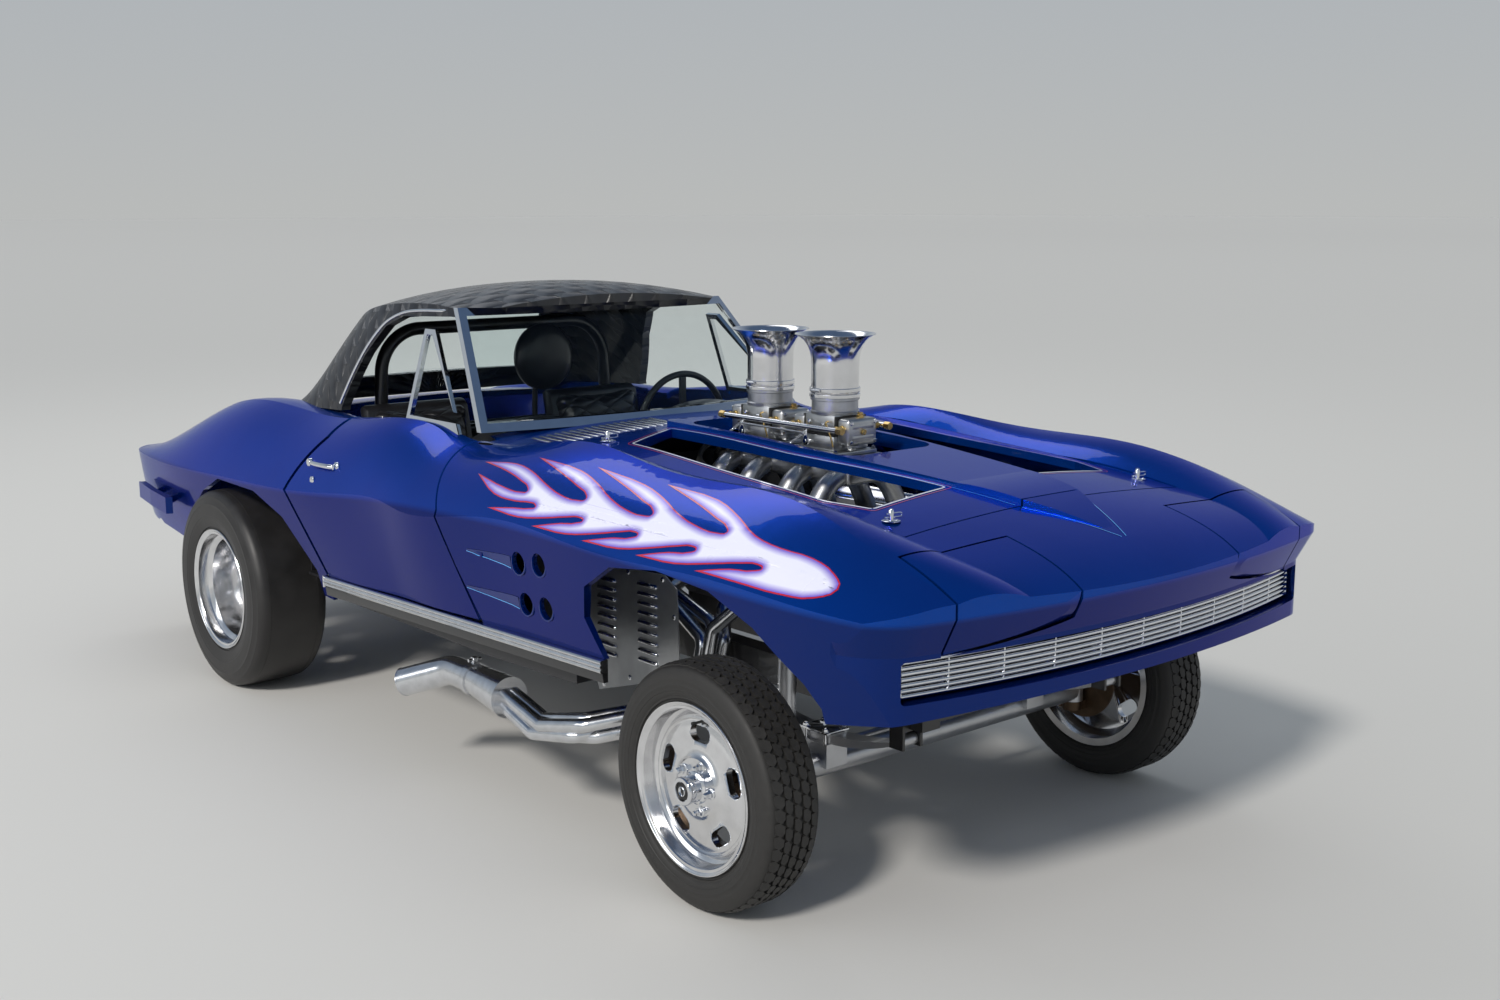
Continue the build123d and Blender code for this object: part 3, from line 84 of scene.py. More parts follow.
# %% Floor
FLOOR_DARK, FLOOR_LIGHT = (0.60, 0.59, 0.57, 1), (0.66, 0.65, 0.63, 1)
bpy.ops.mesh.primitive_plane_add(size=400, location=(0, 0, 0))
floor = bpy.context.object
floor.name = "studio_floor"
floor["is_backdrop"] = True
floor_paint = bpy.data.materials.new("studio_floor")
floor_paint.use_nodes = True
floor_shader = floor_paint.node_tree.nodes["Principled BSDF"]
floor_shader.inputs["Roughness"].default_value = 0.9
floor_noise = floor_paint.node_tree.nodes.new("ShaderNodeTexNoise")
floor_noise.inputs["Scale"].default_value = 2.0
floor_ramp = floor_paint.node_tree.nodes.new("ShaderNodeValToRGB")
for element, colour in zip(floor_ramp.color_ramp.elements, (FLOOR_DARK, FLOOR_LIGHT)):
    element.color = colour
floor_paint.node_tree.links.new(floor_noise.outputs["Fac"], floor_ramp.inputs["Fac"])
floor_paint.node_tree.links.new(floor_ramp.outputs["Color"], floor_shader.inputs["Base Color"])
floor.data.materials.append(floor_paint)
print("floor", floor.name)

# %% [markdown]
# Glossy paint and chrome only look right when they have something to reflect. What the eye and
# the reflections see is a room that shades from pale at the horizon to slate blue overhead.
# What lights the matt surfaces is one even, faintly blue light, so the shaded sides stay cool.

# %% Room
HORIZON, BAND, OVERHEAD = (0.482, 0.492, 0.488, 1), (0.36, 0.41, 0.47, 1), (0.07, 0.11, 0.19, 1)
BAND_AT, OVERHEAD_AT = 0.30, 0.75
SOFT_LIGHT, SOFT_LEVEL = (0.80, 0.90, 1.0, 1), 0.42
world = bpy.data.worlds.new("room")
world.use_nodes = True
bpy.context.scene.world = world
room, room_links = world.node_tree.nodes, world.node_tree.links
seen_room, lit_room = room["Background"], room.new("ShaderNodeBackground")
room_place = room.new("ShaderNodeTexCoord")
room_split = room.new("ShaderNodeSeparateXYZ")
room_ramp = room.new("ShaderNodeValToRGB")
room_ramp.color_ramp.elements[0].color = HORIZON
room_ramp.color_ramp.elements[1].color = OVERHEAD
room_ramp.color_ramp.elements[1].position = OVERHEAD_AT
room_ramp.color_ramp.elements.new(BAND_AT).color = BAND
room_rays = room.new("ShaderNodeLightPath")
room_mix = room.new("ShaderNodeMixShader")
room_any = [room.new("ShaderNodeMath") for _ in range(2)]
for node in room_any:
    node.operation = "MAXIMUM"
lit_room.inputs["Color"].default_value = SOFT_LIGHT
lit_room.inputs["Strength"].default_value = SOFT_LEVEL
for start, end in (
        (room_place.outputs["Generated"], room_split.inputs["Vector"]),
        (room_split.outputs["Z"], room_ramp.inputs["Fac"]),
        (room_ramp.outputs["Color"], seen_room.inputs["Color"]),
        (room_rays.outputs["Is Camera Ray"], room_any[0].inputs[0]),
        (room_rays.outputs["Is Glossy Ray"], room_any[0].inputs[1]),
        (room_any[0].outputs[0], room_any[1].inputs[0]),
        (room_rays.outputs["Is Transmission Ray"], room_any[1].inputs[1]),
        (room_any[1].outputs[0], room_mix.inputs["Fac"]),
        (lit_room.outputs[0], room_mix.inputs[1]), (seen_room.outputs[0], room_mix.inputs[2]),
        (room_mix.outputs[0], room["World Output"].inputs["Surface"])):
    room_links.new(start, end)
bpy.context.scene.view_settings.view_transform = "Standard"
print("room nodes", len(room))

# %% [markdown]
# A wide soft sun stands over the photographer's left shoulder and gives the shadow. Two large
# panels give the long highlights that show how the body curves. Small lamps would give hot spots.

# %% Lamps
SUN_WAY, SUN_POWER, SUN_WIDTH, SUN_COLOUR = (6.0, 2.6, -5.2), 2.3, 9, (1.0, 0.96, 0.90)
bpy.ops.object.light_add(type="SUN", location=(-6, -4, 6))
sun = bpy.context.object
sun.name = "key_sun"
sun.data.energy, sun.data.angle, sun.data.color = SUN_POWER, math.radians(SUN_WIDTH), SUN_COLOUR
sun.rotation_euler = Vector(SUN_WAY).to_track_quat("-Z", "Y").to_euler()
# Each row: name, place, size, power, what it points at
PANELS = (
    ("side_panel", (-6.5, 0.0, 3.2), (7.0, 1.6), 90, (0, 0, 0.6)),
    ("rear_panel", (2.0, 6.0, 8.0), (6.0, 3.0), 110, (0, 0.4, 0.8)),
)
for name, place, size, power, target in PANELS:
    bpy.ops.object.light_add(type="AREA", location=place)
    lamp = bpy.context.object
    lamp.name = name
    lamp.data.shape = "RECTANGLE"
    lamp.data.size, lamp.data.size_y = size
    lamp.data.energy = power
    lamp.rotation_euler = (Vector(target) - Vector(place)).to_track_quat("-Z", "Y").to_euler()
print("lamps", sun.name, [row[0] for row in PANELS])

# %% [markdown]
# Most finishes are one colour that varies a little, a gloss that varies a little and a fine
# relief. One helper builds that from noise, and a table of calls gives the numbers for each one.

# %% Finish helper
CLOUD_EDGES, GRAIN_DEPTH = (0.35, 0.65), 0.0005


def found(material, kind):
    """The first node of a kind in a material."""
    return next(n for n in material.node_tree.nodes if n.bl_idname == "ShaderNode" + kind)


def finish(name, colour, rough, metal=0.0, coat=0.0, vary=0.12, scale=30, relief=0.1, grain=400):
    """A material of one colour whose colour and gloss vary a little, with a fine relief."""
    material = bpy.data.materials.new(name)
    material.use_nodes = True
    tree = material.node_tree
    shader = tree.nodes["Principled BSDF"]
    place = tree.nodes.new("ShaderNodeTexCoord")
    cloud = tree.nodes.new("ShaderNodeTexNoise")
    cloud.inputs["Scale"].default_value = scale
    cloud.inputs["Detail"].default_value = 4
    ramp = tree.nodes.new("ShaderNodeValToRGB")
    for element, edge, factor in zip(ramp.color_ramp.elements, CLOUD_EDGES, (1 - vary, 1 + vary)):
        element.position = edge
        element.color = (*[min(1, c * factor) for c in colour], 1)
    gloss = tree.nodes.new("ShaderNodeMapRange")
    gloss.inputs["To Min"].default_value = rough * 0.8
    gloss.inputs["To Max"].default_value = min(1, rough * 1.25)
    fine = tree.nodes.new("ShaderNodeTexNoise")
    fine.inputs["Scale"].default_value = grain
    bump = tree.nodes.new("ShaderNodeBump")
    bump.inputs["Strength"].default_value = relief
    bump.inputs["Distance"].default_value = GRAIN_DEPTH
    for noise in (cloud, fine):
        tree.links.new(place.outputs["Object"], noise.inputs["Vector"])
    tree.links.new(cloud.outputs["Fac"], ramp.inputs["Fac"])
    tree.links.new(ramp.outputs["Color"], shader.inputs["Base Color"])
    tree.links.new(cloud.outputs["Fac"], gloss.inputs["Value"])
    tree.links.new(gloss.outputs["Result"], shader.inputs["Roughness"])
    tree.links.new(fine.outputs["Fac"], bump.inputs["Height"])
    tree.links.new(bump.outputs["Normal"], shader.inputs["Normal"])
    shader.inputs["Metallic"].default_value = metal
    shader.inputs["Coat Weight"].default_value = coat
    shader.inputs["Coat Roughness"].default_value = 0.04
    return material


print("finish helper ready, colour clouds between", CLOUD_EDGES)

# %% [markdown]
# One row for each metal, rubber and leather of the car: its name, its colour, how rough it is and,
# where a second number follows, how metallic.

# %% Plain finishes
chrome = finish("chrome", (0.80, 0.81, 0.83), 0.05, 1.0, vary=0.03, relief=0.01)
polished = finish("polished_aluminium", (0.78, 0.78, 0.79), 0.15, 1.0, vary=0.05,
                  relief=0.03)
ceramic = finish("polished_coating", (0.70, 0.71, 0.73), 0.20, 1.0, vary=0.08,
                 relief=0.06)
brushed = finish("brushed_aluminium", (0.50, 0.51, 0.52), 0.36, 1.0, vary=0.10,
                 relief=0.12, grain=900)
panel_grey = finish("satin_panel", (0.34, 0.35, 0.36), 0.40, 0.75, vary=0.05,
                    relief=0.08, grain=1200)
silver = finish("silver_paint", (0.50, 0.51, 0.53), 0.30, 0.85, coat=0.3, vary=0.04)
frame_black = finish("frame_black", (0.010, 0.010, 0.011), 0.35, coat=0.4, vary=0.2)
engine_dark = finish("engine_enamel", (0.030, 0.030, 0.033), 0.40, coat=0.2, vary=0.25,
                     relief=0.35)
iron = finish("bronzed_iron", (0.10, 0.065, 0.040), 0.40, 0.8, vary=0.2)
rubber = finish("tyre_rubber", (0.020, 0.019, 0.018), 0.60, vary=0.15, scale=60, relief=0.35,
                grain=700)
slick = finish("slick_rubber", (0.016, 0.015, 0.015), 0.46, vary=0.2, scale=14, relief=0.25,
               grain=500)
leather = finish("black_leather", (0.012, 0.012, 0.014), 0.36, coat=0.2, vary=0.2, relief=0.5,
                 grain=900)
brass = finish("brass", (0.60, 0.42, 0.16), 0.25, 1.0)
black_rubber = finish("black_rubber", (0.008, 0.008, 0.008), 0.5, vary=0.2, relief=0.2)
lamp_red = finish("lamp_red", (0.42, 0.008, 0.006), 0.10, coat=1.0, vary=0.15, scale=160)
floor_black = finish("floor_black", (0.010, 0.010, 0.012), 0.5, coat=0.2, vary=0.2)
dial_white = finish("dial_white", (0.72, 0.72, 0.68), 0.4, vary=0.04)

# %% [markdown]
# The body is candy blue: metal flake under a tinted clear coat. The flake is a fine cell pattern
# that tilts the surface a little. Below the side crease the colour is painted a deeper navy: that is
# painted shade, because the lower side faces down.
# The crease falls towards the tail, so the change of colour follows a curve of height over length.

# %% Body paint
# The second blue is painted shade: the side below the crease faces down, so it is painted darker.
HIGH_BLUE, SHADED_BLUE = (0.001, 0.058, 0.37), (0.001, 0.020, 0.16)
# Height of the crease over the length of the body: (y + 2.2) / 4.4 and z
CREASE = ((0.17, 0.829), (0.30, 0.838), (0.43, 0.826), (0.62, 0.762), (0.89, 0.722))


def flaked(material):
    """Metal flake in the relief and a clear coat over a finish."""
    tree = material.node_tree
    flake = tree.nodes.new("ShaderNodeTexVoronoi")
    flake.inputs["Scale"].default_value = 900
    bump = found(material, "Bump")
    bump.inputs["Strength"].default_value = 0.08
    tree.links.new(found(material, "TexCoord").outputs["Object"], flake.inputs["Vector"])
    tree.links.new(flake.outputs["Distance"], bump.inputs["Height"])
    shader = tree.nodes["Principled BSDF"]
    shader.inputs["Coat Roughness"].default_value = 0.02
    shader.inputs["Specular IOR Level"].default_value = 0.2
    shader.inputs["Specular Tint"].default_value = (0.12, 0.25, 0.9, 1)
    shader.inputs["Coat IOR"].default_value = 1.40
    return material


def shaded_below_crease(material):
    """The finish above the side crease, and below it a deeper blue that paints the shade of the lower side.
    """
    tree = material.node_tree
    place, ramp = found(material, "TexCoord"), found(material, "ValToRGB")
    split = tree.nodes.new("ShaderNodeSeparateXYZ")
    along = tree.nodes.new("ShaderNodeMapRange")
    along.inputs["From Min"].default_value, along.inputs["From Max"].default_value = -2.2, 2.2
    line = tree.nodes.new("ShaderNodeFloatCurve")
    curve = line.mapping.curves[0]
    for share, height in CREASE:
        curve.points.new(share, height)
    curve.points[0].location = (0.0, 0.812)
    curve.points[-1].location = (1.0, 0.70)
    above = tree.nodes.new("ShaderNodeMath")
    above.operation = "SUBTRACT"
    soft = tree.nodes.new("ShaderNodeMapRange")
    soft.inputs["From Min"].default_value, soft.inputs["From Max"].default_value = -0.012, 0.004
    mix = tree.nodes.new("ShaderNodeMix")
    mix.data_type = "RGBA"
    # Below the crease the mix takes the painted-shade blue.
    mix.inputs["A"].default_value = (*SHADED_BLUE, 1)
    for start, end in (
            (place.outputs["Object"], split.inputs["Vector"]), (split.outputs["Y"], along.inputs["Value"]),
            (along.outputs["Result"], line.inputs["Value"]), (split.outputs["Z"], above.inputs[0]),
            (line.outputs["Value"], above.inputs[1]), (above.outputs["Value"], soft.inputs["Value"]),
            (soft.outputs["Result"], mix.inputs["Factor"]), (ramp.outputs["Color"], mix.inputs["B"]),
            (mix.outputs["Result"], tree.nodes["Principled BSDF"].inputs["Base Color"])):
        tree.links.new(start, end)
    return material


body_paint = shaded_below_crease(flaked(finish("candy_blue", HIGH_BLUE, 0.24, 0.75, coat=0.45, vary=0.05,
                                   scale=3)))
# The same painted-shade blue, under a full clear coat, paints the shade in the side flutes and also colours
# the vent rims.
deep_paint = flaked(finish("deep_blue", SHADED_BLUE, 0.28, 0.5, coat=1.0, vary=0.05, scale=3))
pale_paint = flaked(finish("flame_lavender", (0.52, 0.52, 0.84), 0.28, 0.1, coat=1.0,
                           vary=0.25, scale=7))
edge_red = finish("pinstripe_red", (0.50, 0.010, 0.035), 0.3, coat=1.0, vary=0.05)
stripe_and_highlight_blue = finish("pinstripe_blue", (0.05, 0.30, 0.75), 0.3, coat=1.0, vary=0.05)
stripe_white = finish("pinstripe_white", (0.70, 0.73, 0.82), 0.3, coat=1.0, vary=0.03)
print("paints", body_paint.name)

# %% [markdown]
# Window glass transmits, with a faint teal tint. A low refraction index keeps the thin pane from
# bending the view of the cabin behind it.

# %% Glass
screen_glass = finish("screen_glass", (0.90, 0.97, 0.96), 0.01, vary=0.01, relief=0.0)
screen_glass.node_tree.nodes["Principled BSDF"].inputs["Transmission Weight"].default_value = 1.0
screen_glass.node_tree.nodes["Principled BSDF"].inputs["IOR"].default_value = 1.18
print("glass", screen_glass.name)

# %% [markdown]
# The black vinyl of the roof is tooled in overlapping scales. Rows of scales are worked out by a
# chain of maths nodes: each row is offset by half a scale, and the relief rises across each scale
# and drops at its rounded edge. The pattern reads the place on the roof, so it never slides.

# %% Scale leather
SCALE_W, SCALE_H = 0.105, 0.062
ROOF_CENTRE_Z, ROOF_RADIUS = 0.95, 0.5


def math_node(tree, operation, first, second=None):
    """A maths node whose inputs are numbers or other sockets."""
    node = tree.nodes.new("ShaderNodeMath")
    node.operation = operation
    for socket, value in zip(node.inputs, (first, second)):
        if value is None:
            continue
        if isinstance(value, (int, float)):
            socket.default_value = value
        else:
            tree.links.new(value, socket)
    return node.outputs[0]


def relief_over(material, height, depth):
    """Lay a large relief over the fine grain that the finish already has."""
    tree = material.node_tree
    grain_bump = found(material, "Bump")
    bump = tree.nodes.new("ShaderNodeBump")
    bump.inputs["Strength"].default_value = 1.0
    bump.inputs["Distance"].default_value = depth
    tree.links.new(height, bump.inputs["Height"])
    tree.links.new(grain_bump.outputs["Normal"], bump.inputs["Normal"])
    tree.links.new(bump.outputs["Normal"], tree.nodes["Principled BSDF"].inputs["Normal"])


def split_place(material):
    """The x, y and z of the place on the piece, as three sockets."""
    split = material.node_tree.nodes.new("ShaderNodeSeparateXYZ")
    material.node_tree.links.new(found(material, "TexCoord").outputs["Object"], split.inputs["Vector"])
    return split.outputs


def scale_leather():
    """Rows of scales, each row moved on by half a scale."""
    material = finish("scale_leather", (0.012, 0.012, 0.014), 0.34, coat=0.35, vary=0.25,
                      relief=0.4, grain=800)
    tree = material.node_tree
    x, y, z = split_place(material)
    down = math_node(tree, "SUBTRACT", y, math_node(tree, "MULTIPLY", z, 0.75))
    row = math_node(tree, "DIVIDE", down, SCALE_H)
    row_floor = math_node(tree, "FLOOR", row)
    row_part = math_node(tree, "SUBTRACT", row, row_floor)
    odd = math_node(tree, "MULTIPLY",
                    math_node(tree, "MODULO", math_node(tree, "ABSOLUTE", row_floor), 2.0), 0.5)
    around = math_node(tree, "ARCTAN2", x, math_node(tree, "SUBTRACT", z, ROOF_CENTRE_Z))
    column = math_node(tree, "ADD", math_node(tree, "DIVIDE", around, SCALE_W / ROOF_RADIUS), odd)
    column_part = math_node(tree, "SUBTRACT", math_node(tree, "FRACT", column), 0.5)
    arc = math_node(tree, "MULTIPLY", math_node(tree, "MULTIPLY", column_part, column_part), 2.6)
    rise = math_node(tree, "FRACT", math_node(tree, "ADD", row_part, arc))
    relief_over(material, math_node(tree, "POWER", rise, 0.45), 0.028)
    return material


roof_leather = scale_leather()
print("leather", roof_leather.name)

# %% [markdown]
# An operator acts on all that is selected, so every helper first deselects everything and then
# picks its own piece. All pieces end with their place in their mesh.

# %% Selection helpers
def deselect():
    """Leave edit mode and select nothing."""
    if bpy.context.object and bpy.context.object.mode != "OBJECT":
        bpy.ops.object.mode_set(mode="OBJECT")
    bpy.ops.object.select_all(action="DESELECT")


def activate(*pieces):
    """Select only these pieces, and make the first one active."""
    deselect()
    for piece in pieces:
        piece.select_set(True)
    bpy.context.view_layer.objects.active = pieces[0]
    return pieces[0]


def settle(piece):
    """Write the place, turn and scale of a piece into its mesh."""
    activate(piece)
    bpy.ops.object.transform_apply(location=True, rotation=True, scale=True)
    return piece


def closed_up(piece, angle):
    """Merge points that meet, turn faces outwards and smooth all but the sharp edges."""
    activate(piece)
    bpy.ops.object.mode_set(mode="EDIT")
    bpy.ops.mesh.select_all(action="SELECT")
    bpy.ops.mesh.remove_doubles(threshold=0.00002)
    bpy.ops.mesh.normals_make_consistent(inside=False)
    bpy.ops.object.mode_set(mode="OBJECT")
    bpy.ops.object.shade_smooth_by_angle(angle=math.radians(angle))
    return piece


def joined(name, pieces):
    """Join the pieces to one and name it."""
    activate(*pieces)
    if len(pieces) > 1:
        bpy.ops.object.join()
    bpy.context.object.name = name
    return bpy.context.object


print("selection helpers ready")

# %% [markdown]
# Most pieces come in pairs, so one helper mirrors a piece to the other side and another hands it to
# the body that carries it, with its finish. A third does both.

# %% Mirrored and carried pieces
def other_side(piece, name):
    """A copy mirrored across the car, with its faces turned outwards again."""
    activate(piece)
    bpy.ops.object.duplicate()
    copy = bpy.context.object
    copy.name = name
    copy.scale.x = -1
    settle(copy)
    bpy.ops.object.mode_set(mode="EDIT")
    bpy.ops.mesh.select_all(action="SELECT")
    bpy.ops.mesh.normals_make_consistent(inside=False)
    bpy.ops.object.mode_set(mode="OBJECT")
    return copy


def put(piece, body, material, *hidden):
    """Give a piece its finish and its body, and hide the CAD parts that it replaces."""
    if not piece.data.materials:
        piece.data.materials.append(material)
    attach(piece, body)
    if hidden:
        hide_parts(*hidden)
    return piece


def put_pair(piece, name, body, material, *hidden):
    """Put a piece and its mirrored copy on the same body."""
    copy = other_side(piece, name)
    put(piece, body, material, *hidden)
    put(copy, body, material)
    return piece, copy


# %% [markdown]
# A turned piece, such as a rim, a tyre or a stack, starts as one circle. Its edge is extruded along
# the axis and resized ring by ring, which is the way to turn a shape by hand.

# %% Turned pieces
TURN = {"X": (0, 90, 0), "-X": (0, -90, 0), "Y": (-90, 0, 0), "-Y": (90, 0, 0), "Z": (0, 0, 0),
        "-Z": (180, 0, 0)}


def turned(name, profile, place=(0, 0, 0), axis="Z", steps=48, angle=35):
    """profile rows: how far along the axis, radius. A row equal to the first closes the shape."""
    deselect()
    bpy.ops.mesh.primitive_circle_add(vertices=steps, radius=max(profile[0][1], 1e-5),
                                      location=(0, 0, profile[0][0]))
    piece = bpy.context.object
    piece.name = name
    bpy.ops.object.mode_set(mode="EDIT")
    for (along, radius), (next_along, next_radius) in zip(profile, profile[1:]):
        bpy.ops.mesh.extrude_region_move(TRANSFORM_OT_translate={"value": (0, 0, next_along - along)})
        ratio = max(next_radius, 1e-5) / max(radius, 1e-5)
        if ratio != 1:
            bpy.ops.transform.resize(value=(ratio, ratio, 1), center_override=(0, 0, next_along))
    bpy.ops.object.mode_set(mode="OBJECT")
    settle(piece)
    piece.rotation_euler = [math.radians(a) for a in TURN[axis]]
    piece.location = place
    settle(piece)
    return closed_up(piece, angle)


print("a turned piece can point along", list(TURN))

# %% [markdown]
# A plate starts as a filled circle whose corners are put on an outline, and is then extruded. A
# block is a plate with four corners. A small bevel on the edges is what catches the light.

# %% Plates and blocks
def plate(name, outline, low, high, axis="Z", bevel=0.0, segments=2):
    """An outline of (a, b) points extruded along an axis. X: a=y, b=z. Y: a=x, b=z. Z: a=x, b=y."""
    deselect()
    bpy.ops.mesh.primitive_circle_add(vertices=len(outline), radius=1, fill_type="NGON", location=(0, 0, 0))
    piece = bpy.context.object
    piece.name = name
    spots = {"X": lambda a, b: (low, a, b), "Y": lambda a, b: (a, low, b),
             "Z": lambda a, b: (a, b, low)}[axis]
    for vertex, point in zip(piece.data.vertices, outline):
        vertex.co = spots(*point)
    push = {"X": (high - low, 0, 0), "Y": (0, high - low, 0), "Z": (0, 0, high - low)}[axis]
    bpy.ops.object.mode_set(mode="EDIT")
    bpy.ops.mesh.select_all(action="SELECT")
    bpy.ops.mesh.extrude_region_move(TRANSFORM_OT_translate={"value": push})
    bpy.ops.mesh.select_all(action="SELECT")
    bpy.ops.mesh.normals_make_consistent(inside=False)
    bpy.ops.object.mode_set(mode="OBJECT")
    if bevel:
        soften(piece, bevel, segments)
    bpy.ops.object.shade_smooth_by_angle(angle=math.radians(35))
    return piece


def soften(piece, width, segments=2, angle=40):
    """Bevel the edges that are sharper than the angle."""
    activate(piece)
    bpy.ops.object.modifier_add(type="BEVEL")
    bevel = piece.modifiers[-1]
    bevel.width, bevel.segments = width, segments
    bevel.limit_method, bevel.angle_limit = "ANGLE", math.radians(angle)
    bpy.ops.object.modifier_apply(modifier=bevel.name)
    return piece


def block(name, low, high, bevel=0.002, segments=2):
    """A box from its low corner to its high one."""
    outline = ((low[0], low[1]), (high[0], low[1]), (high[0], high[1]), (low[0], high[1]))
    return plate(name, outline, low[2], high[2], "Z", bevel, segments)


def cut(piece, *cutters):
    """Cut away what the cutters cover and remove them."""
    for cutter in cutters:
        activate(piece)
        bpy.ops.object.modifier_add(type="BOOLEAN")
        tool = piece.modifiers[-1]
        tool.object, tool.operation, tool.solver = cutter, "DIFFERENCE", "EXACT"
        bpy.ops.object.modifier_apply(modifier=tool.name)
        bpy.data.objects.remove(cutter)
    return piece


print("plates, blocks and cuts ready")

# %% [markdown]
# A rod, a pipe or a wire is a smooth curve with a round bevel, made a mesh at the end. What repeats
# is modelled once: copies are turned about an axis, or an array sets them in a row.

# %% Rods and repeated copies
def rod(name, points, radius, order=3, resolution=6, around=4):
    """A round bar along a smooth path, with closed ends."""
    deselect()
    bpy.ops.curve.primitive_nurbs_path_add(location=(0, 0, 0))
    path = bpy.context.object
    path.name = name
    path.data.splines.clear()
    spline = path.data.splines.new("NURBS")
    spline.points.add(len(points) - 1)
    for knot, point in zip(spline.points, points):
        knot.co = (*point, 1)
    spline.order_u, spline.use_endpoint_u = order, True
    path.data.resolution_u, path.data.bevel_depth, path.data.bevel_resolution = resolution, radius, around
    path.data.use_fill_caps = True
    bpy.ops.object.convert(target="MESH")
    return closed_up(bpy.context.object, 50)


def ring_of(piece, count, centre, axis, start=0.0):
    """Copies of a piece turned about an axis through the centre, joined to one mesh."""
    copies = []
    for n in range(count):
        activate(piece)
        bpy.ops.object.duplicate()
        copy = bpy.context.object
        spin = Matrix.Rotation(start + n * math.tau / count, 4, axis)
        about = Matrix.Translation(centre)
        copy.matrix_world = about @ spin @ about.inverted() @ copy.matrix_world
        copies.append(settle(copy))
    bpy.data.objects.remove(piece)
    return joined(copies[0].name, copies)


def row_of(piece, count, step):
    """Repeat a piece in a straight row, one step apart."""
    activate(piece)
    bpy.ops.object.modifier_add(type="ARRAY")
    array = piece.modifiers[-1]
    array.count, array.use_relative_offset, array.use_constant_offset = count, False, True
    array.constant_offset_displace = step
    bpy.ops.object.modifier_apply(modifier=array.name)
    return piece


print("rods, rings and rows ready")

# %% [markdown]
# The wheels are cast and polished. The rim is turned as one closed shell: two flanges, two bead
# seats, the drop between them and the open dish. The centre is turned too, and five long windows
# are cut through it with rounded cutters, because a boolean keeps the edges of the windows crisp.

# %% Wheel sizes
HUB_HEIGHT = {"front": 0.302, "rear": 0.345}
AXLE_Y = {"front": FRONT_AXLE, "rear": REAR_AXLE}
# Each entry: wheel centre x, half of the rim width, x of the disc. A tyre is as high as its hub
WHEEL = {"front": (0.7375, 0.075, 0.762), "rear": (0.770, 0.1225, 0.700)}
LIP_R, SEAT_R, DISH_R = 0.2095, 0.196, 0.170
WINDOW_R, NUTS, NUT_R = 0.128, 5, 0.057


def rim_profile(centre, half, disc):
    """The closed section of a rim: how far along the axle, radius."""
    out, back = centre + half, centre - half
    return [
        (back, LIP_R), (back + 0.006, LIP_R), (back + 0.008, SEAT_R), (back + 0.040, SEAT_R),
        (back + 0.052, 0.178), (out - 0.052, 0.178), (out - 0.040, SEAT_R), (out - 0.008, SEAT_R),
        (out - 0.006, LIP_R), (out - 0.002, LIP_R), (out, 0.2080), (out, 0.2060), (out - 0.0015, 0.2045),
        (out - 0.0025, 0.2010), (out - 0.0045, 0.1990), (out - 0.0055, 0.1925), (out - 0.008, 0.1905),
        (out - 0.036, 0.1885), (out - 0.040, 0.1865), (out - 0.048, 0.1730), (out - 0.051, DISH_R),
        (min(disc - 0.004, out - 0.0515), DISH_R), (back + 0.050, DISH_R), (back + 0.038, 0.188),
        (back + 0.002, 0.189), (back, LIP_R)]


def disc_profile(disc):
    """The closed section of the wheel centre, from the bore outwards and back."""
    return [(disc, 0.022), (disc, 0.1715), (disc + 0.009, 0.1715), (disc + 0.014, 0.1690),
            (disc + 0.0155, 0.1640), (disc + 0.0120, 0.1600), (disc + 0.0125, 0.1560),
            (disc + 0.0160, 0.1480), (disc + 0.0180, 0.1300), (disc + 0.0180, 0.0960),
            (disc + 0.0200, 0.0820), (disc + 0.0260, 0.0740), (disc + 0.0300, 0.0700),
            (disc + 0.0300, 0.0360), (disc + 0.0300, 0.022), (disc, 0.022)]


print("wheel sizes", WHEEL)

# %% [markdown]
# The centre is turned, and each window is cut by a block whose upright edges were beveled round.
# Those edges are picked in code: the two ends of an upright edge differ in height.

# %% Wheel centre with its windows
WINDOWS, WINDOW_HALF_W, WINDOW_HALF_H, WINDOW_ROUND = 5, 0.036, 0.0200, 0.0185


def wheel_centre(name, disc):
    """The turned centre with its windows cut through."""
    centre = turned(name, disc_profile(disc), axis="Z", steps=80, angle=30)
    cutters = []
    for n in range(WINDOWS):
        cutter = block(f"{name}_window_{n}", (-WINDOW_HALF_W, WINDOW_R - WINDOW_HALF_H, disc - 0.02),
                       (WINDOW_HALF_W, WINDOW_R + WINDOW_HALF_H, disc + 0.05), bevel=0)
        activate(cutter)
        bpy.ops.object.mode_set(mode="EDIT")
        mesh = bmesh.from_edit_mesh(cutter.data)
        for edge in mesh.edges:
            a, b = (vert.co for vert in edge.verts)
            edge.select = abs(a.z - b.z) > 0.03
        bmesh.update_edit_mesh(cutter.data)
        bpy.ops.mesh.bevel(offset=WINDOW_ROUND, segments=8)
        bpy.ops.object.mode_set(mode="OBJECT")
        cutter.rotation_euler.z = n * math.tau / WINDOWS + math.tau / 20
        cutters.append(settle(cutter))
    cut(centre, *cutters)
    soften(centre, 0.0016, 2, 50)
    bpy.ops.object.shade_smooth_by_angle(angle=math.radians(35))
    return centre


print("windows in a wheel", WINDOWS)

# %% [markdown]
# Five open nuts on washers stand round a hub cap with a dished face. The rim, centre, nuts and cap
# are built along Z, turned to lie along the axle, and the right wheels are turned round to face out.

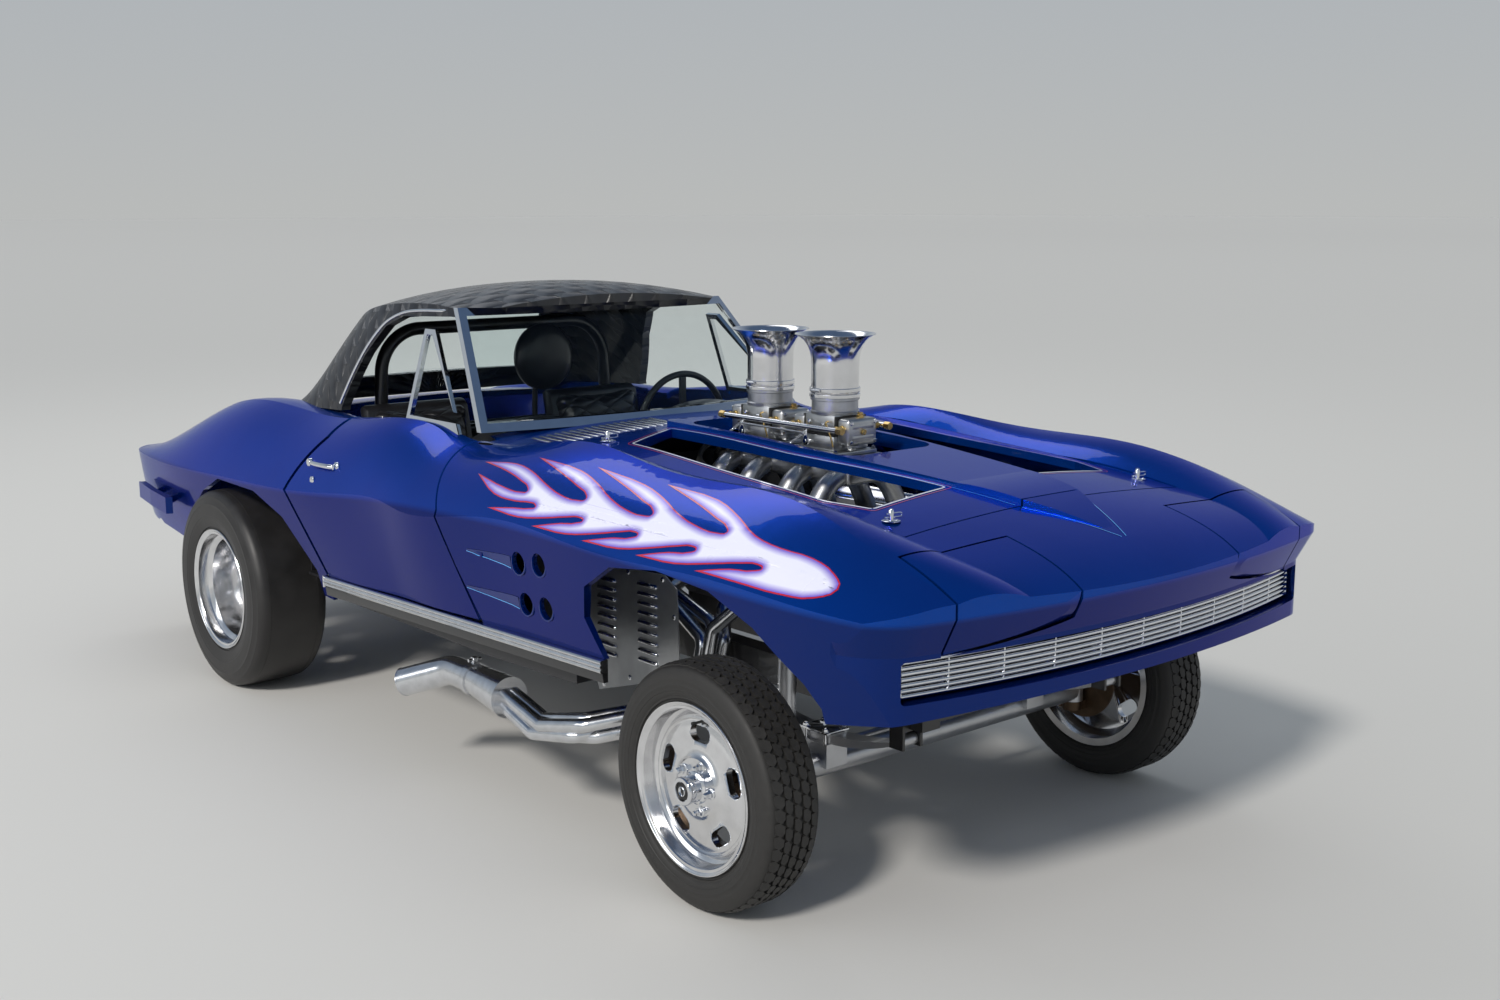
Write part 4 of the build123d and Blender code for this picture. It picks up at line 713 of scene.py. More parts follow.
# %% Nuts, hub cap and the whole wheel
def wheel_nuts(name, disc):
    """One open nut on its washer, repeated round the hub."""
    nut = turned(name,
                 [(disc + 0.030, 0.0105), (disc + 0.040, 0.0105), (disc + 0.041, 0.0095),
                  (disc + 0.041, 0.0075), (disc + 0.050, 0.0070), (disc + 0.053, 0.0045),
                  (disc + 0.054, 0.0)], (NUT_R, 0, 0), "Z", 6, 25)
    washer = turned(name + "_washer", [(disc + 0.0295, 0.014), (disc + 0.032, 0.014), (disc + 0.033, 0.0125),
                                       (disc + 0.033, 0.0)], (NUT_R, 0, 0), "Z", 16, 40)
    return ring_of(joined(name, [nut, washer]), NUTS, (0, 0, 0), "Z", math.tau / 4)


def hub_cap(name, disc, length):
    """A turned cap with a dished face."""
    end = disc + 0.030 + length
    return turned(name,
                  [(disc + 0.0295, 0.040), (disc + 0.034, 0.040), (disc + 0.036, 0.037),
                   (disc + 0.038, 0.0335), (end - 0.014, 0.0325), (end - 0.013, 0.0345),
                   (end - 0.009, 0.0350), (end - 0.004, 0.0340), (end - 0.002, 0.0320),
                   (end - 0.002, 0.0240), (end - 0.008, 0.0225), (end - 0.008, 0.0130),
                   (end - 0.002, 0.0120), (end - 0.001, 0.0105), (end - 0.003, 0.0090),
                   (end - 0.006, 0.0080), (end - 0.006, 0.0)], axis="Z", steps=40)


def build_wheel(side, end):
    """One whole wheel, built along Z, turned to its side and put at its corner."""
    centre, half, disc = WHEEL[end]
    name = f"{end}_wheel_{side}"
    rim = turned(f"{name}_rim", rim_profile(centre, half, disc), axis="Z", steps=96, angle=30)
    whole = joined(f"{name}_casting", [rim, wheel_centre(f"{name}_centre", disc)])
    bright = joined(f"{name}_nuts_and_cap",
                    [wheel_nuts(f"{name}_nuts", disc), hub_cap(f"{name}_cap", disc, 0.046)])
    valve = turned(f"{name}_valve",
                   [(0, 0.0), (0, 0.0035), (0.020, 0.0030), (0.021, 0.0045), (0.029, 0.0045), (0.031, 0.0)],
                   (disc + 0.012, 0, 0.158), "X", 10)
    for piece in (whole, bright):
        piece.rotation_euler = (0, math.radians(90), 0)
        settle(piece)
    ring = turned(f"{name}_cap_ring",
                  [(disc + 0.0690, 0.0), (disc + 0.0690, 0.0215), (disc + 0.0705, 0.0215),
                   (disc + 0.0705, 0.0)], axis="X", steps=32)
    for piece, material in ((whole, polished), (bright, chrome), (valve, black_rubber), (ring, black_rubber)):
        if SIDES[side] < 0:
            piece.rotation_euler = (0, 0, math.pi)
            settle(piece)
        piece.location = (0, AXLE_Y[end], HUB_HEIGHT[end])
        settle(piece)
        put(piece, f"wheel_{end}_{side}", material)
    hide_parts(f"wheel_{end}_{side}")
    return whole


for side in SIDES:
    for end in AXLE_Y:
        made = build_wheel(side, end)
        print(made.name, len(made.data.polygons), "faces")

# %% [markdown]
# The front tyres are narrow radials. The carcass is turned, with raised rings on the sidewall. One
# zigzag tread block is modelled per rib and spun round the wheel, so the grooves are real.

# %% Front tyres
TREAD_ROWS = ((-0.052, 58, 0.024, 0.5), (-0.0265, 58, 0.021, 0.0), (0.0, 58, 0.021, 0.5),
              (0.0265, 58, 0.021, 0.0), (0.052, 58, 0.024, 0.5))


def both_walls(side):
    """A tyre section from one sidewall: mirrored to the other side and closed."""
    profile = [(-x, r) for x, r in side] + [(x, r) for x, r in reversed(side[:-1])]
    return profile + profile[:1]


def mounted(tyre, side, end):
    """Turn a tyre about its axle and carry it to its corner of the car."""
    tyre.rotation_euler = (0, math.radians(90), 0)
    settle(tyre)
    tyre.location = (SIDES[side] * WHEEL[end][0], AXLE_Y[end], HUB_HEIGHT[end])
    return settle(tyre)


def front_carcass(name):
    """The front tyre without its tread."""
    side = [(0.0667, 0.1963), (0.0670, 0.2100), (0.0690, 0.2150), (0.0735, 0.2170), (0.0740, 0.2215),
            (0.0768, 0.2250), (0.0795, 0.2320), (0.0795, 0.2345), (0.0812, 0.2365), (0.0818, 0.2460),
            (0.0825, 0.2475), (0.0825, 0.2495), (0.0817, 0.2510), (0.0812, 0.2600), (0.0815, 0.2615),
            (0.0808, 0.2650), (0.0792, 0.2720), (0.0768, 0.2790), (0.0735, 0.2860), (0.0690, 0.2905),
            (0.0640, 0.2925), (0.0400, 0.2945), (0.0, 0.2952)]
    return turned(name, both_walls(side), axis="Z", steps=96, angle=25)


def tread_blocks(name, radius):
    """Five ribs of zigzag blocks, each rib spun round the wheel."""
    rows = []
    for x, count, width, phase in TREAD_ROWS:
        pitch = math.tau * radius / count
        long, wide, drop = pitch * 0.78, width, 0.0075
        lean, outer = 0.20 * pitch, abs(x) > 0.05
        top = radius - (0.0040 if outer else 0.0012)
        outline = [(-0.5 * long, -0.5 * wide), (0.1 * long, -0.5 * wide),
                   (0.5 * long, -0.5 * wide + 0.1 * wide), (0.5 * long + lean, 0.1 * wide),
                   (0.5 * long - lean * 0.2, 0.5 * wide), (-0.2 * long, 0.5 * wide),
                   (-0.5 * long + lean, 0.35 * wide), (-0.5 * long - lean * 0.3, 0.0)]
        tread = plate(f"{name}_row", outline, top - drop, top, "Z", 0)
        if outer:
            slant = -0.0065 * (1 if x > 0 else -1)
            for vertex in tread.data.vertices:
                vertex.co.z += slant * (vertex.co.y / (0.5 * wide)) * 0.5
        activate(tread)
        bpy.ops.object.mode_set(mode="EDIT")
        bpy.ops.mesh.select_all(action="SELECT")
        bpy.ops.transform.translate(value=(0, x, 0))
        bpy.ops.mesh.spin(steps=count, dupli=True, angle=math.tau, center=(0, 0, 0), axis=(0, 1, 0))
        bpy.ops.mesh.select_all(action="SELECT")
        bpy.ops.mesh.remove_doubles(threshold=0.00001)
        bpy.ops.mesh.normals_make_consistent(inside=False)
        bpy.ops.object.mode_set(mode="OBJECT")
        tread.rotation_euler.y = phase * math.tau / count
        settle(tread)
        tread.rotation_euler.x = math.radians(90)
        rows.append(settle(tread))
    return joined(name, rows)


for side in SIDES:
    tread = tread_blocks(f"front_tread_{side}", HUB_HEIGHT["front"])
    tyre = joined(f"front_tyre_{side}", [front_carcass(f"front_tyre_{side}"), tread])
    put(mounted(tyre, side, "front"), f"wheel_front_{side}", rubber, f"tyre_front_{side}")
    print(tyre.name, len(tyre.data.polygons), "faces")

# %% [markdown]
# The rear tyres are slicks: a wide flat tread with no pattern, round shoulders and a sidewall that
# bulges. Fine rings near the shoulder and at the bead catch the light, and one narrow groove near
# each edge of the tread marks where it begins.

# %% Rear slicks
def slick_tyre(name):
    """A rear tyre in one turned shell."""
    side = [(0.1142, 0.1963), (0.1145, 0.2080), (0.1165, 0.2150), (0.1210, 0.2170), (0.1215, 0.2210),
            (0.1245, 0.2290), (0.1275, 0.2450), (0.1288, 0.2500), (0.1288, 0.2540), (0.1298, 0.2560),
            (0.1300, 0.2700), (0.1296, 0.2850), (0.1285, 0.2950), (0.1290, 0.2965), (0.1280, 0.2990),
            (0.1250, 0.3100), (0.1215, 0.3190), (0.1215, 0.3205), (0.1170, 0.3285), (0.1100, 0.3355),
            (0.1000, 0.3405), (0.0850, 0.3425), (0.0845, 0.3418), (0.0835, 0.3418), (0.0830, 0.3427),
            (0.0500, 0.3443), (0.0, 0.3450)]
    return turned(name, both_walls(side), axis="Z", steps=128, angle=25)


for side in SIDES:
    tyre = mounted(slick_tyre(f"rear_slick_{side}"), side, "rear")
    put(tyre, f"wheel_rear_{side}", slick, f"tyre_rear_{side}")
    print(tyre.name, len(tyre.data.polygons), "faces")

# %% [markdown]
# The flames on the front fenders start as a flat outline in a plane that leans against the
# fender: one round head, and licks that end in points. The outline is filled, subdivided and
# projected onto the body with a shrinkwrap. A slightly wider red copy lies under the pale one.

# %% Flame outline
# Each row: y, height up the leaning plane, and True where the lick ends in a point
FLAME = (
    (-1.962, 0.010, 0), (-1.930, 0.040, 0), (-1.860, 0.058, 0), (-1.770, 0.056, 0), (-1.680, 0.068, 0),
    (-1.590, 0.106, 0), (-1.480, 0.142, 0), (-1.300, 0.156, 1), (-1.430, 0.122, 0), (-1.530, 0.092, 0),
    (-1.588, 0.072, 0), (-1.598, 0.058, 0), (-1.574, 0.049, 0), (-1.490, 0.054, 0), (-1.400, 0.076, 0),
    (-1.310, 0.110, 0), (-1.200, 0.140, 0), (-1.020, 0.158, 1), (-1.150, 0.124, 0), (-1.250, 0.094, 0),
    (-1.314, 0.072, 0), (-1.324, 0.057, 0), (-1.298, 0.048, 0), (-1.220, 0.053, 0), (-1.130, 0.076, 0),
    (-1.040, 0.110, 0), (-0.940, 0.137, 0), (-0.760, 0.150, 1), (-0.885, 0.118, 0), (-0.985, 0.090, 0),
    (-1.044, 0.070, 0), (-1.054, 0.055, 0), (-1.028, 0.046, 0), (-0.950, 0.049, 0), (-0.860, 0.070, 0),
    (-0.760, 0.100, 0), (-0.660, 0.116, 0), (-0.530, 0.108, 1), (-0.650, 0.090, 0), (-0.750, 0.068, 0),
    (-0.804, 0.050, 0), (-0.812, 0.038, 0), (-0.790, 0.030, 0), (-0.710, 0.032, 0), (-0.560, 0.054, 1),
    (-0.680, 0.012, 0), (-0.790, 0.006, 0), (-0.855, 0.012, 0), (-0.880, 0.009, 0), (-0.888, 0.000, 0),
    (-0.870, -0.008, 0), (-0.800, -0.018, 0), (-0.720, -0.030, 1), (-0.840, -0.034, 0), (-0.950, -0.018, 0),
    (-1.030, -0.001, 0), (-1.078, 0.006, 0), (-1.100, -0.002, 0), (-1.086, -0.012, 0), (-1.020, -0.026, 0),
    (-0.940, -0.046, 1), (-1.060, -0.044, 0), (-1.180, -0.022, 0), (-1.258, -0.003, 0), (-1.303, 0.005, 0),
    (-1.325, -0.003, 0), (-1.311, -0.014, 0), (-1.240, -0.028, 0), (-1.160, -0.048, 1), (-1.280, -0.045, 0),
    (-1.400, -0.022, 0), (-1.478, -0.003, 0), (-1.523, 0.005, 0), (-1.545, -0.003, 0), (-1.531, -0.014, 0),
    (-1.460, -0.028, 0), (-1.380, -0.048, 1), (-1.500, -0.045, 0), (-1.620, -0.022, 0), (-1.698, -0.003, 0),
    (-1.743, 0.005, 0), (-1.765, -0.003, 0), (-1.751, -0.014, 0), (-1.680, -0.028, 0), (-1.600, -0.048, 1),
    (-1.730, -0.048, 0), (-1.850, -0.044, 0), (-1.930, -0.026, 0))
LEAN = math.radians(43)
LONGEST_EDGE, SPLITS, GLOW_DEPTH = 0.014, 7, 0.020
print("flame points", len(FLAME), "of which tips", sum(tip for *_, tip in FLAME))

# %% [markdown]
# The outline becomes a closed curve with sharp knots at the tips, and then a filled mesh. Long edges
# are split until the mesh can follow the fender. Each vertex stores how far it is from the rim.

# %% Flame mesh
def flame_shape(name, grow):
    """The outline, widened by grow, as a filled mesh in the leaning plane of the right fender."""
    deselect()
    bpy.ops.curve.primitive_bezier_circle_add(location=(0, 0, 0))
    piece = bpy.context.object
    piece.name = name
    piece.data.dimensions, piece.data.fill_mode = "2D", "BOTH"
    piece.data.splines.clear()
    spline = piece.data.splines.new("BEZIER")
    spline.bezier_points.add(len(FLAME) - 1)
    for knot, (y, rise, tip) in zip(spline.bezier_points, FLAME):
        knot.co = (y, rise, 0)
        knot.handle_left_type = knot.handle_right_type = "VECTOR" if tip else "AUTO"
    spline.use_cyclic_u = True
    spline.resolution_u = 3
    piece.data.offset = grow
    bpy.ops.object.convert(target="MESH")
    piece = bpy.context.object
    activate(piece)
    bpy.ops.object.mode_set(mode="EDIT")
    bpy.ops.mesh.select_all(action="SELECT")
    bpy.ops.mesh.remove_doubles(threshold=0.0002)
    bpy.ops.mesh.quads_convert_to_tris()
    bpy.ops.mesh.select_mode(type="EDGE")
    for _ in range(SPLITS):
        mesh = bmesh.from_edit_mesh(piece.data)
        for edge in mesh.edges:
            edge.select = edge.calc_length() > LONGEST_EDGE
        bmesh.update_edit_mesh(piece.data)
        bpy.ops.mesh.subdivide(number_cuts=1)
    bpy.ops.mesh.select_all(action="SELECT")
    bpy.ops.mesh.quads_convert_to_tris()
    bpy.ops.object.mode_set(mode="OBJECT")
    mesh = bmesh.new()
    mesh.from_mesh(piece.data)
    rim = [[edge.verts[0].co.lerp(edge.verts[1].co, share / 4) for share in range(4)]
           for edge in mesh.edges if edge.is_boundary]
    mesh.free()
    rim = [point for row in rim for point in row]
    tree = KDTree(len(rim))
    for n, point in enumerate(rim):
        tree.insert(point, n)
    tree.balance()
    shade = piece.data.color_attributes.new("shade", "FLOAT_COLOR", "POINT")
    for vertex, spot in zip(piece.data.vertices, shade.data):
        depth = min(1.0, tree.find(vertex.co)[2] / GLOW_DEPTH)
        spot.color = (depth, depth, depth, 1)
    return piece


print("longest edge of the flame mesh", LONGEST_EDGE)

# %% [markdown]
# A shrinkwrap projects a flat piece onto the body and holds it a hair above the paint. A vertex that
# meets nothing on its way stays where it was, and is deleted.

# %% Onto the body
def onto_body(piece, target, gap, inward):
    """Project the piece along its own Z onto the target, lift it by the gap and drop what misses."""
    activate(piece)
    bpy.ops.object.modifier_add(type="SHRINKWRAP")
    wrap = piece.modifiers[-1]
    wrap.target, wrap.wrap_method, wrap.wrap_mode = target, "PROJECT", "ABOVE_SURFACE"
    wrap.use_project_x = wrap.use_project_y = False
    wrap.use_project_z = True
    wrap.use_negative_direction, wrap.use_positive_direction = not inward, inward
    wrap.offset = gap
    start = [vertex.co.copy() for vertex in piece.data.vertices]
    bpy.ops.object.modifier_apply(modifier=wrap.name)
    missed = [(vertex.co - before).length < 0.05 for vertex, before in zip(piece.data.vertices, start)]
    settle(piece)
    if any(missed):
        piece.data.vertices.foreach_set("select", missed)
        bpy.ops.object.mode_set(mode="EDIT")
        bpy.ops.mesh.select_mode(type="VERT")
        bpy.ops.mesh.delete(type="VERT")
        bpy.ops.object.mode_set(mode="OBJECT")
    return piece


def flame_layer(name, grow, gap):
    """One layer of flame on the right fender."""
    piece = flame_shape(name, grow)
    lean_up, inward = Vector((math.cos(LEAN), 0, math.sin(LEAN))), Vector((math.sin(LEAN), 0,
                                                                           -math.cos(LEAN)))
    piece.matrix_world = Matrix(((0, lean_up.x, inward.x, -1.5 * inward.x), (1, lean_up.y, inward.y, 0),
                                 (0, lean_up.z, inward.z, -1.5 * inward.z), (0, 0, 0, 1)))
    bpy.context.view_layer.update()
    onto_body(piece, nodes["front_body"], gap, True)
    bpy.ops.object.mode_set(mode="EDIT")
    bpy.ops.mesh.select_all(action="SELECT")
    bpy.ops.mesh.normals_make_consistent(inside=False)
    bpy.ops.object.mode_set(mode="OBJECT")
    if sum(face.normal.z * face.area for face in piece.data.polygons) < 0:
        piece.data.flip_normals()
    bpy.ops.object.shade_smooth()
    return piece


print("the flame plane leans", round(math.degrees(LEAN)), "degrees")

# %% [markdown]
# The pale flame turns lavender towards its edge. The distance to the edge was stored in each
# vertex as an attribute, and a colour ramp reads it, so the blend follows every lick.

# %% Flame colours
flame_tree = pale_paint.node_tree
flame_ramp = found(pale_paint, "ValToRGB")
for element, position, colour in zip(flame_ramp.color_ramp.elements, (0.10, 0.90),
                                     ((0.22, 0.15, 0.62, 1), (0.80, 0.80, 0.95, 1))):
    element.position, element.color = position, colour
flame_depth = flame_tree.nodes.new("ShaderNodeAttribute")
flame_depth.attribute_name = "shade"
flame_tree.links.new(flame_depth.outputs["Fac"], flame_ramp.inputs["Fac"])
print("flame colours from", flame_depth.attribute_name)

# %% [markdown]
# Two layers lie on each fender: a slightly wider red one and the pale one over it. Only a thin red
# line shows, as if a striping brush had gone round the flame.

# %% Flames on both fenders
for name, grow, gap, material in (("red", 0.0035, 0.0008, edge_red), ("pale", 0.0, 0.0016, pale_paint)):
    right = flame_layer(f"flame_{name}_right", grow, gap)
    put_pair(right, f"flame_{name}_left", "chassis", material)
    print(right.name, len(right.data.polygons), "faces")

# %% [markdown]
# Pinstripes are flat ribbons: a path with an extrusion across it, made a mesh and projected down
# onto the hood. They run along the raised spine and round the two openings.

# %% Pinstripes
STRIPE_GAP = 0.0010


def stripe(name, points, width, target, material, cyclic=False, body="chassis"):
    """A flat ribbon along a path, laid onto the target from above, and its mirrored copy."""
    deselect()
    bpy.ops.curve.primitive_nurbs_path_add(location=(0, 0, 0))
    path = bpy.context.object
    path.name = name
    path.data.splines.clear()
    spline = path.data.splines.new("NURBS")
    spline.points.add(len(points) - 1)
    for knot, (x, y) in zip(spline.points, points):
        knot.co = (x, y, 0, 1)
        knot.tilt = math.radians(90)
    spline.order_u, spline.use_endpoint_u, spline.use_cyclic_u = 3, not cyclic, cyclic
    path.data.twist_mode, path.data.resolution_u, path.data.extrude = "Z_UP", 12, 0.5 * width
    bpy.ops.object.convert(target="MESH")
    piece = bpy.context.object
    piece.location.z = 1.5
    bpy.context.view_layer.update()
    onto_body(piece, nodes[target], STRIPE_GAP, False)
    if sum(face.normal.z * face.area for face in piece.data.polygons) < 0:
        piece.data.flip_normals()
    bpy.ops.object.shade_smooth()
    return put_pair(piece, name + "_left", body, material)


SPINE_EDGE = ((-0.203, -0.62), (-0.203, -0.90), (-0.200, -1.15), (-0.176, -1.42), (-0.151, -1.69),
              (-0.118, -1.860))
SPINE_NOSE = ((-0.116, -1.880), (-0.084, -1.94), (-0.044, -2.02), (-0.008, -2.090))
CORNER_ROUND = 0.03


def opening_line(grow):
    """The outline of the right hood opening, grown outwards, with three points at each corner."""
    corners = [(-0.212, -0.650), (-0.425, -0.760), (-0.462, -1.575), (-0.425, -1.690), (-0.165, -1.670),
               (-0.212, -1.150)]
    middle = Vector((-0.31, -1.2))
    line = []
    for n, corner in enumerate(corners):
        here, last, after = Vector(corner), Vector(corners[n - 1]), Vector(corners[(n + 1) % 6])
        normals = []
        for a, b in ((last, here), (here, after)):
            side = (b - a).orthogonal().normalized()
            normals.append(side if side.dot(a - middle) > 0 else -side)
        grown = here + (normals[0] + normals[1]) * grow / max(0.35, 1 + normals[0].dot(normals[1]))
        for way in (last - here, Vector((0, 0)), after - here):
            line.append(grown + way.normalized() * CORNER_ROUND)
    return [tuple(point) for point in line]


stripe("spine_stripe", SPINE_EDGE, 0.0028, "hood", stripe_and_highlight_blue, body="hood")
stripe("spine_nose_stripe", SPINE_NOSE, 0.0028, "front_body", stripe_and_highlight_blue)
stripe("opening_white", opening_line(0.006), 0.0060, "hood", stripe_white, cyclic=True, body="hood")
stripe("opening_red", opening_line(0.018), 0.0026, "hood", edge_red, cyclic=True, body="hood")
print("pinstripes done")

# %% [markdown]
# The two stacks are thin spun tubes with a flared, rolled lip, so each is one closed turned shell.
# Under each stack sits a carburettor: a throttle plate, a body, two float bowls and its small brass
# and steel parts.

# %% Velocity stacks
CARB_LINE = (-1.110, -0.840)
STACK = ((1.1362, 0.0580), (1.1362, 0.0700), (1.1440, 0.0700), (1.1460, 0.0675), (1.1480, 0.0655),
         (1.2250, 0.0655), (1.2400, 0.0665), (1.2600, 0.0705), (1.2780, 0.0785), (1.2910, 0.0885),
         (1.3000, 0.1010), (1.3035, 0.1085), (1.3060, 0.1118), (1.3078, 0.1110), (1.3072, 0.1085),
         (1.3040, 0.1005), (1.2960, 0.0885), (1.2850, 0.0780), (1.2660, 0.0690), (1.2440, 0.0642),
         (1.2250, 0.0628), (1.1500, 0.0625), (1.1420, 0.0560), (1.1362, 0.0580))
stacks = []
for n, y in enumerate(CARB_LINE):
    tube = turned(f"stack_{n}", [(z - 1.0, r) for z, r in STACK], (0, y, 1.0), "Z", 72, 30)
    clamp = turned(f"stack_clamp_{n}",
                   [(0.150, 0.0650), (0.150, 0.0690), (0.1515, 0.0700), (0.1605, 0.0700), (0.162, 0.0690),
                    (0.162, 0.0650), (0.150, 0.0650)], (0, y, 1.0), "Z", 72, 30)
    screw = rod(f"stack_screw_{n}", ((-0.074, y - 0.016, 1.156), (-0.074, y + 0.016, 1.156)), 0.0035, 2)
    stacks += [tube, clamp, screw]
put(joined("velocity_stack_pair", stacks), "chassis", polished, "velocity_stacks")

# %% [markdown]
# Small bolts turn up everywhere, so one bolt is a function: a washer, a six-sided head and a stub.

# %% Bolts
def bolt(name, place, axis, size):
    """A washer, a six-sided head and the stub of its thread."""
    return turned(name,
                  [(0, size * 1.35), (0.0012, size * 1.35), (0.0014, size), (size * 0.9, size),
                   (size * 1.05, size * 0.8), (size * 1.05, size * 0.5), (size * 1.4, size * 0.5),
                   (size * 1.4, 0)], place, axis, 6, 25)


print("bolt helper ready")

# %% [markdown]
# A racing carburettor is a cast box with a float bowl at each end. One function models it from
# blocks and turned pieces and sorts them into castings, brass, gaskets and steel.

# %% Carburettor helper
FUEL_X, FUEL_Z, FUEL_ENDS = 0.090, 1.058, (-1.225, -0.735)


def carburettor(name, y):
    """The castings, brass, gaskets and steel of one carburettor, as four lists."""
    cast = [block(name + "_flange", (-0.078, y - 0.088, 0.9826), (0.078, y + 0.088, 0.994), 0.004),
            block(name + "_throttle", (-0.066, y - 0.066, 0.994), (0.066, y + 0.066, 1.036), 0.006),
            block(name + "_body", (-0.058, y - 0.060, 1.0385), (0.058, y + 0.060, 1.092), 0.008),
            turned(name + "_horn",
                   [(0.090, 0.0), (0.090, 0.066), (0.097, 0.068), (0.100, 0.0640), (0.126, 0.0640),
                    (0.128, 0.0675), (0.135, 0.0675), (0.135, 0.0)], (0, y, 1.0), "Z", 48)]
    brassy, dark, steel = [], [], []
    dark.append(block(name + "_gasket", (-0.067, y - 0.067, 1.0355), (0.067, y + 0.067, 1.0390), 0.001))
    for end in (-1, 1):
        low, high = sorted((y + end * 0.064, y + end * 0.112))
        cast.append(block(f"{name}_bowl_{end}", (-0.054, low, 1.012), (0.054, high, 1.084), 0.010, 3))
        for z in (1.026, 1.056):
            cast.append(block(f"{name}_bowl_rib_{end}_{z}", (-0.040, low - 0.001, z),
                              (0.040, high + 0.0015, z + 0.014), 0.003))
        near, far = sorted((y + end * 0.058, y + end * 0.0635))
        dark.append(block(f"{name}_metering_{end}", (-0.057, near, 1.008), (0.057, far, 1.088), 0.001))
        face, middle, outward = y + end * 0.112, 0.5 * (low + high), "Y" if end > 0 else "-Y"
        for x in (-0.044, 0.044):
            for z in (1.022, 1.074):
                steel.append(bolt(f"{name}_bowl_bolt_{end}_{x}_{z}", (x, face, z), outward, 0.0045))
        brassy.append(turned(f"{name}_sight_{end}", [(0, 0.008), (0.005, 0.008), (0.006, 0.006), (0.006, 0)],
                             (0, face + end * 0.0005, 1.048), outward, 12, 25))
        brassy.append(turned(f"{name}_needle_{end}",
                             [(0, 0.011), (0.008, 0.011), (0.009, 0.008), (0.014, 0.008), (0.015, 0.005),
                              (0.015, 0)], (0.012, middle, 1.084), "Z", 6, 25))
        for sign in (-1, 1):
            brassy.append(turned(f"{name}_inlet_{end}_{sign}",
                                 [(0, 0.010), (0.006, 0.010), (0.007, 0.0075), (0.016, 0.0075),
                                  (0.017, 0.0095), (0.026, 0.0095), (0.027, 0.006), (0.032, 0.006),
                                  (0.032, 0)], (sign * 0.053, middle, FUEL_Z),
                                 "X" if sign > 0 else "-X", 8, 25))
        cast.append(turned(f"{name}_pump_{end}",
                           [(0, 0.020), (0.006, 0.020), (0.009, 0.014), (0.014, 0.012), (0.014, 0)],
                           (-0.020, middle, 1.012), "-Z", 20))
    for x in (-0.070, 0.070):
        for dy in (-0.080, 0.080):
            steel.append(bolt(f"{name}_stud_{x}_{dy}", (x, y + dy, 0.994), "Z", 0.0055))
    for sign in (-1, 1):
        steel.append(rod(f"{name}_shaft_{sign}",
                         ((sign * 0.060, y + 0.030, 1.016), (sign * 0.086, y + 0.030, 1.016)), 0.005, 2))
        lever = plate(f"{name}_lever_{sign}",
                      ((y + 0.018, 1.012), (y + 0.024, 1.004), (y + 0.036, 1.004), (y + 0.042, 1.014),
                       (y + 0.036, 1.044), (y + 0.026, 1.048)), min(sign * 0.079, sign * 0.083),
                      max(sign * 0.079, sign * 0.083), "X", 0.0008)
        steel.append(lever)
        steel.append(rod(f"{name}_spring_{sign}",
                         [(sign * (0.088 + 0.004 * math.cos(k * 1.3)), y + 0.036 + 0.0022 * k * 0.5,
                           1.036 + 0.004 * math.sin(k * 1.3) - 0.0007 * k) for k in range(46)], 0.0009, 3,
                         2, 2))
    for x, dy, z in ((-0.060, -0.020, 1.064), (-0.060, 0.014, 1.052), (-0.060, 0.034, 1.070),
                     (0.060, -0.020, 1.064), (0.060, 0.020, 1.056)):
        steel.append(turned(f"{name}_screw_{x}_{dy}",
                            [(0, 0.0055), (0.004, 0.0055), (0.005, 0.004), (0.005, 0)],
                            (x + (0.002 if x > 0 else -0.002), y + dy, z), "X" if x > 0 else "-X", 10, 25))
    brassy.append(rod(name + "_vacuum",
                      ((-0.062, y - 0.040, 1.074), (-0.078, y - 0.044, 1.076), (-0.084, y - 0.060, 1.060),
                       (-0.082, y - 0.074, 1.034), (-0.080, y - 0.078, 1.010)), 0.0026, 3, 6, 2))
    return cast, brassy, dark, steel


print("carburettor helper ready")

# %% [markdown]
# Both carburettors come from the helper. A fuel log and a throttle link run along each side of them,
# and a short curved pipe joins the rear one to the end of the right log.

# %% Both carburettors and their fuel logs
cast, brassy, dark, steel = [], [], [], []
for n, y in enumerate(CARB_LINE):
    for whole, some in zip((cast, brassy, dark, steel), carburettor(f"carb_{n}", y)):
        whole += some
for sign in (-1, 1):
    steel.append(rod(f"fuel_log_{sign}", [(sign * FUEL_X, y, FUEL_Z) for y in FUEL_ENDS], 0.0075, 2, 2, 3))
    steel.append(rod(f"link_{sign}", ((sign * 0.0865, -1.078, 1.040), (sign * 0.0865, -0.808, 1.040)),
                     0.0032, 2, 2, 2))
    for y in FUEL_ENDS:
        brassy.append(turned(f"fuel_log_end_{sign}_{y}",
                             [(-0.010, 0.0), (-0.010, 0.0105), (0.010, 0.0105), (0.010, 0.0)],
                             (sign * FUEL_X, y, FUEL_Z), "Y", 6, 25))
steel.append(rod("fuel_feed",
                 ((0.0, -0.734, 1.040), (-0.010, -0.706, 1.043), (-0.050, -0.700, 1.050),
                  (-0.090, -0.715, 1.058), (-0.090, -0.735, 1.058)), 0.006, 3, 6, 3))
put(joined("carburettor_castings", cast), "chassis", brushed, "carburettors")
put(joined("carburettor_brass", brassy), "chassis", brass)
put(joined("carburettor_gaskets", dark), "chassis", black_rubber)
put(joined("carburettor_steel", steel), "chassis", chrome)

# %% [markdown]
# The valve covers lie on a slanted face of the engine. They are modelled flat, with rounded fins,
# and then tilted by the same frame that the face has.

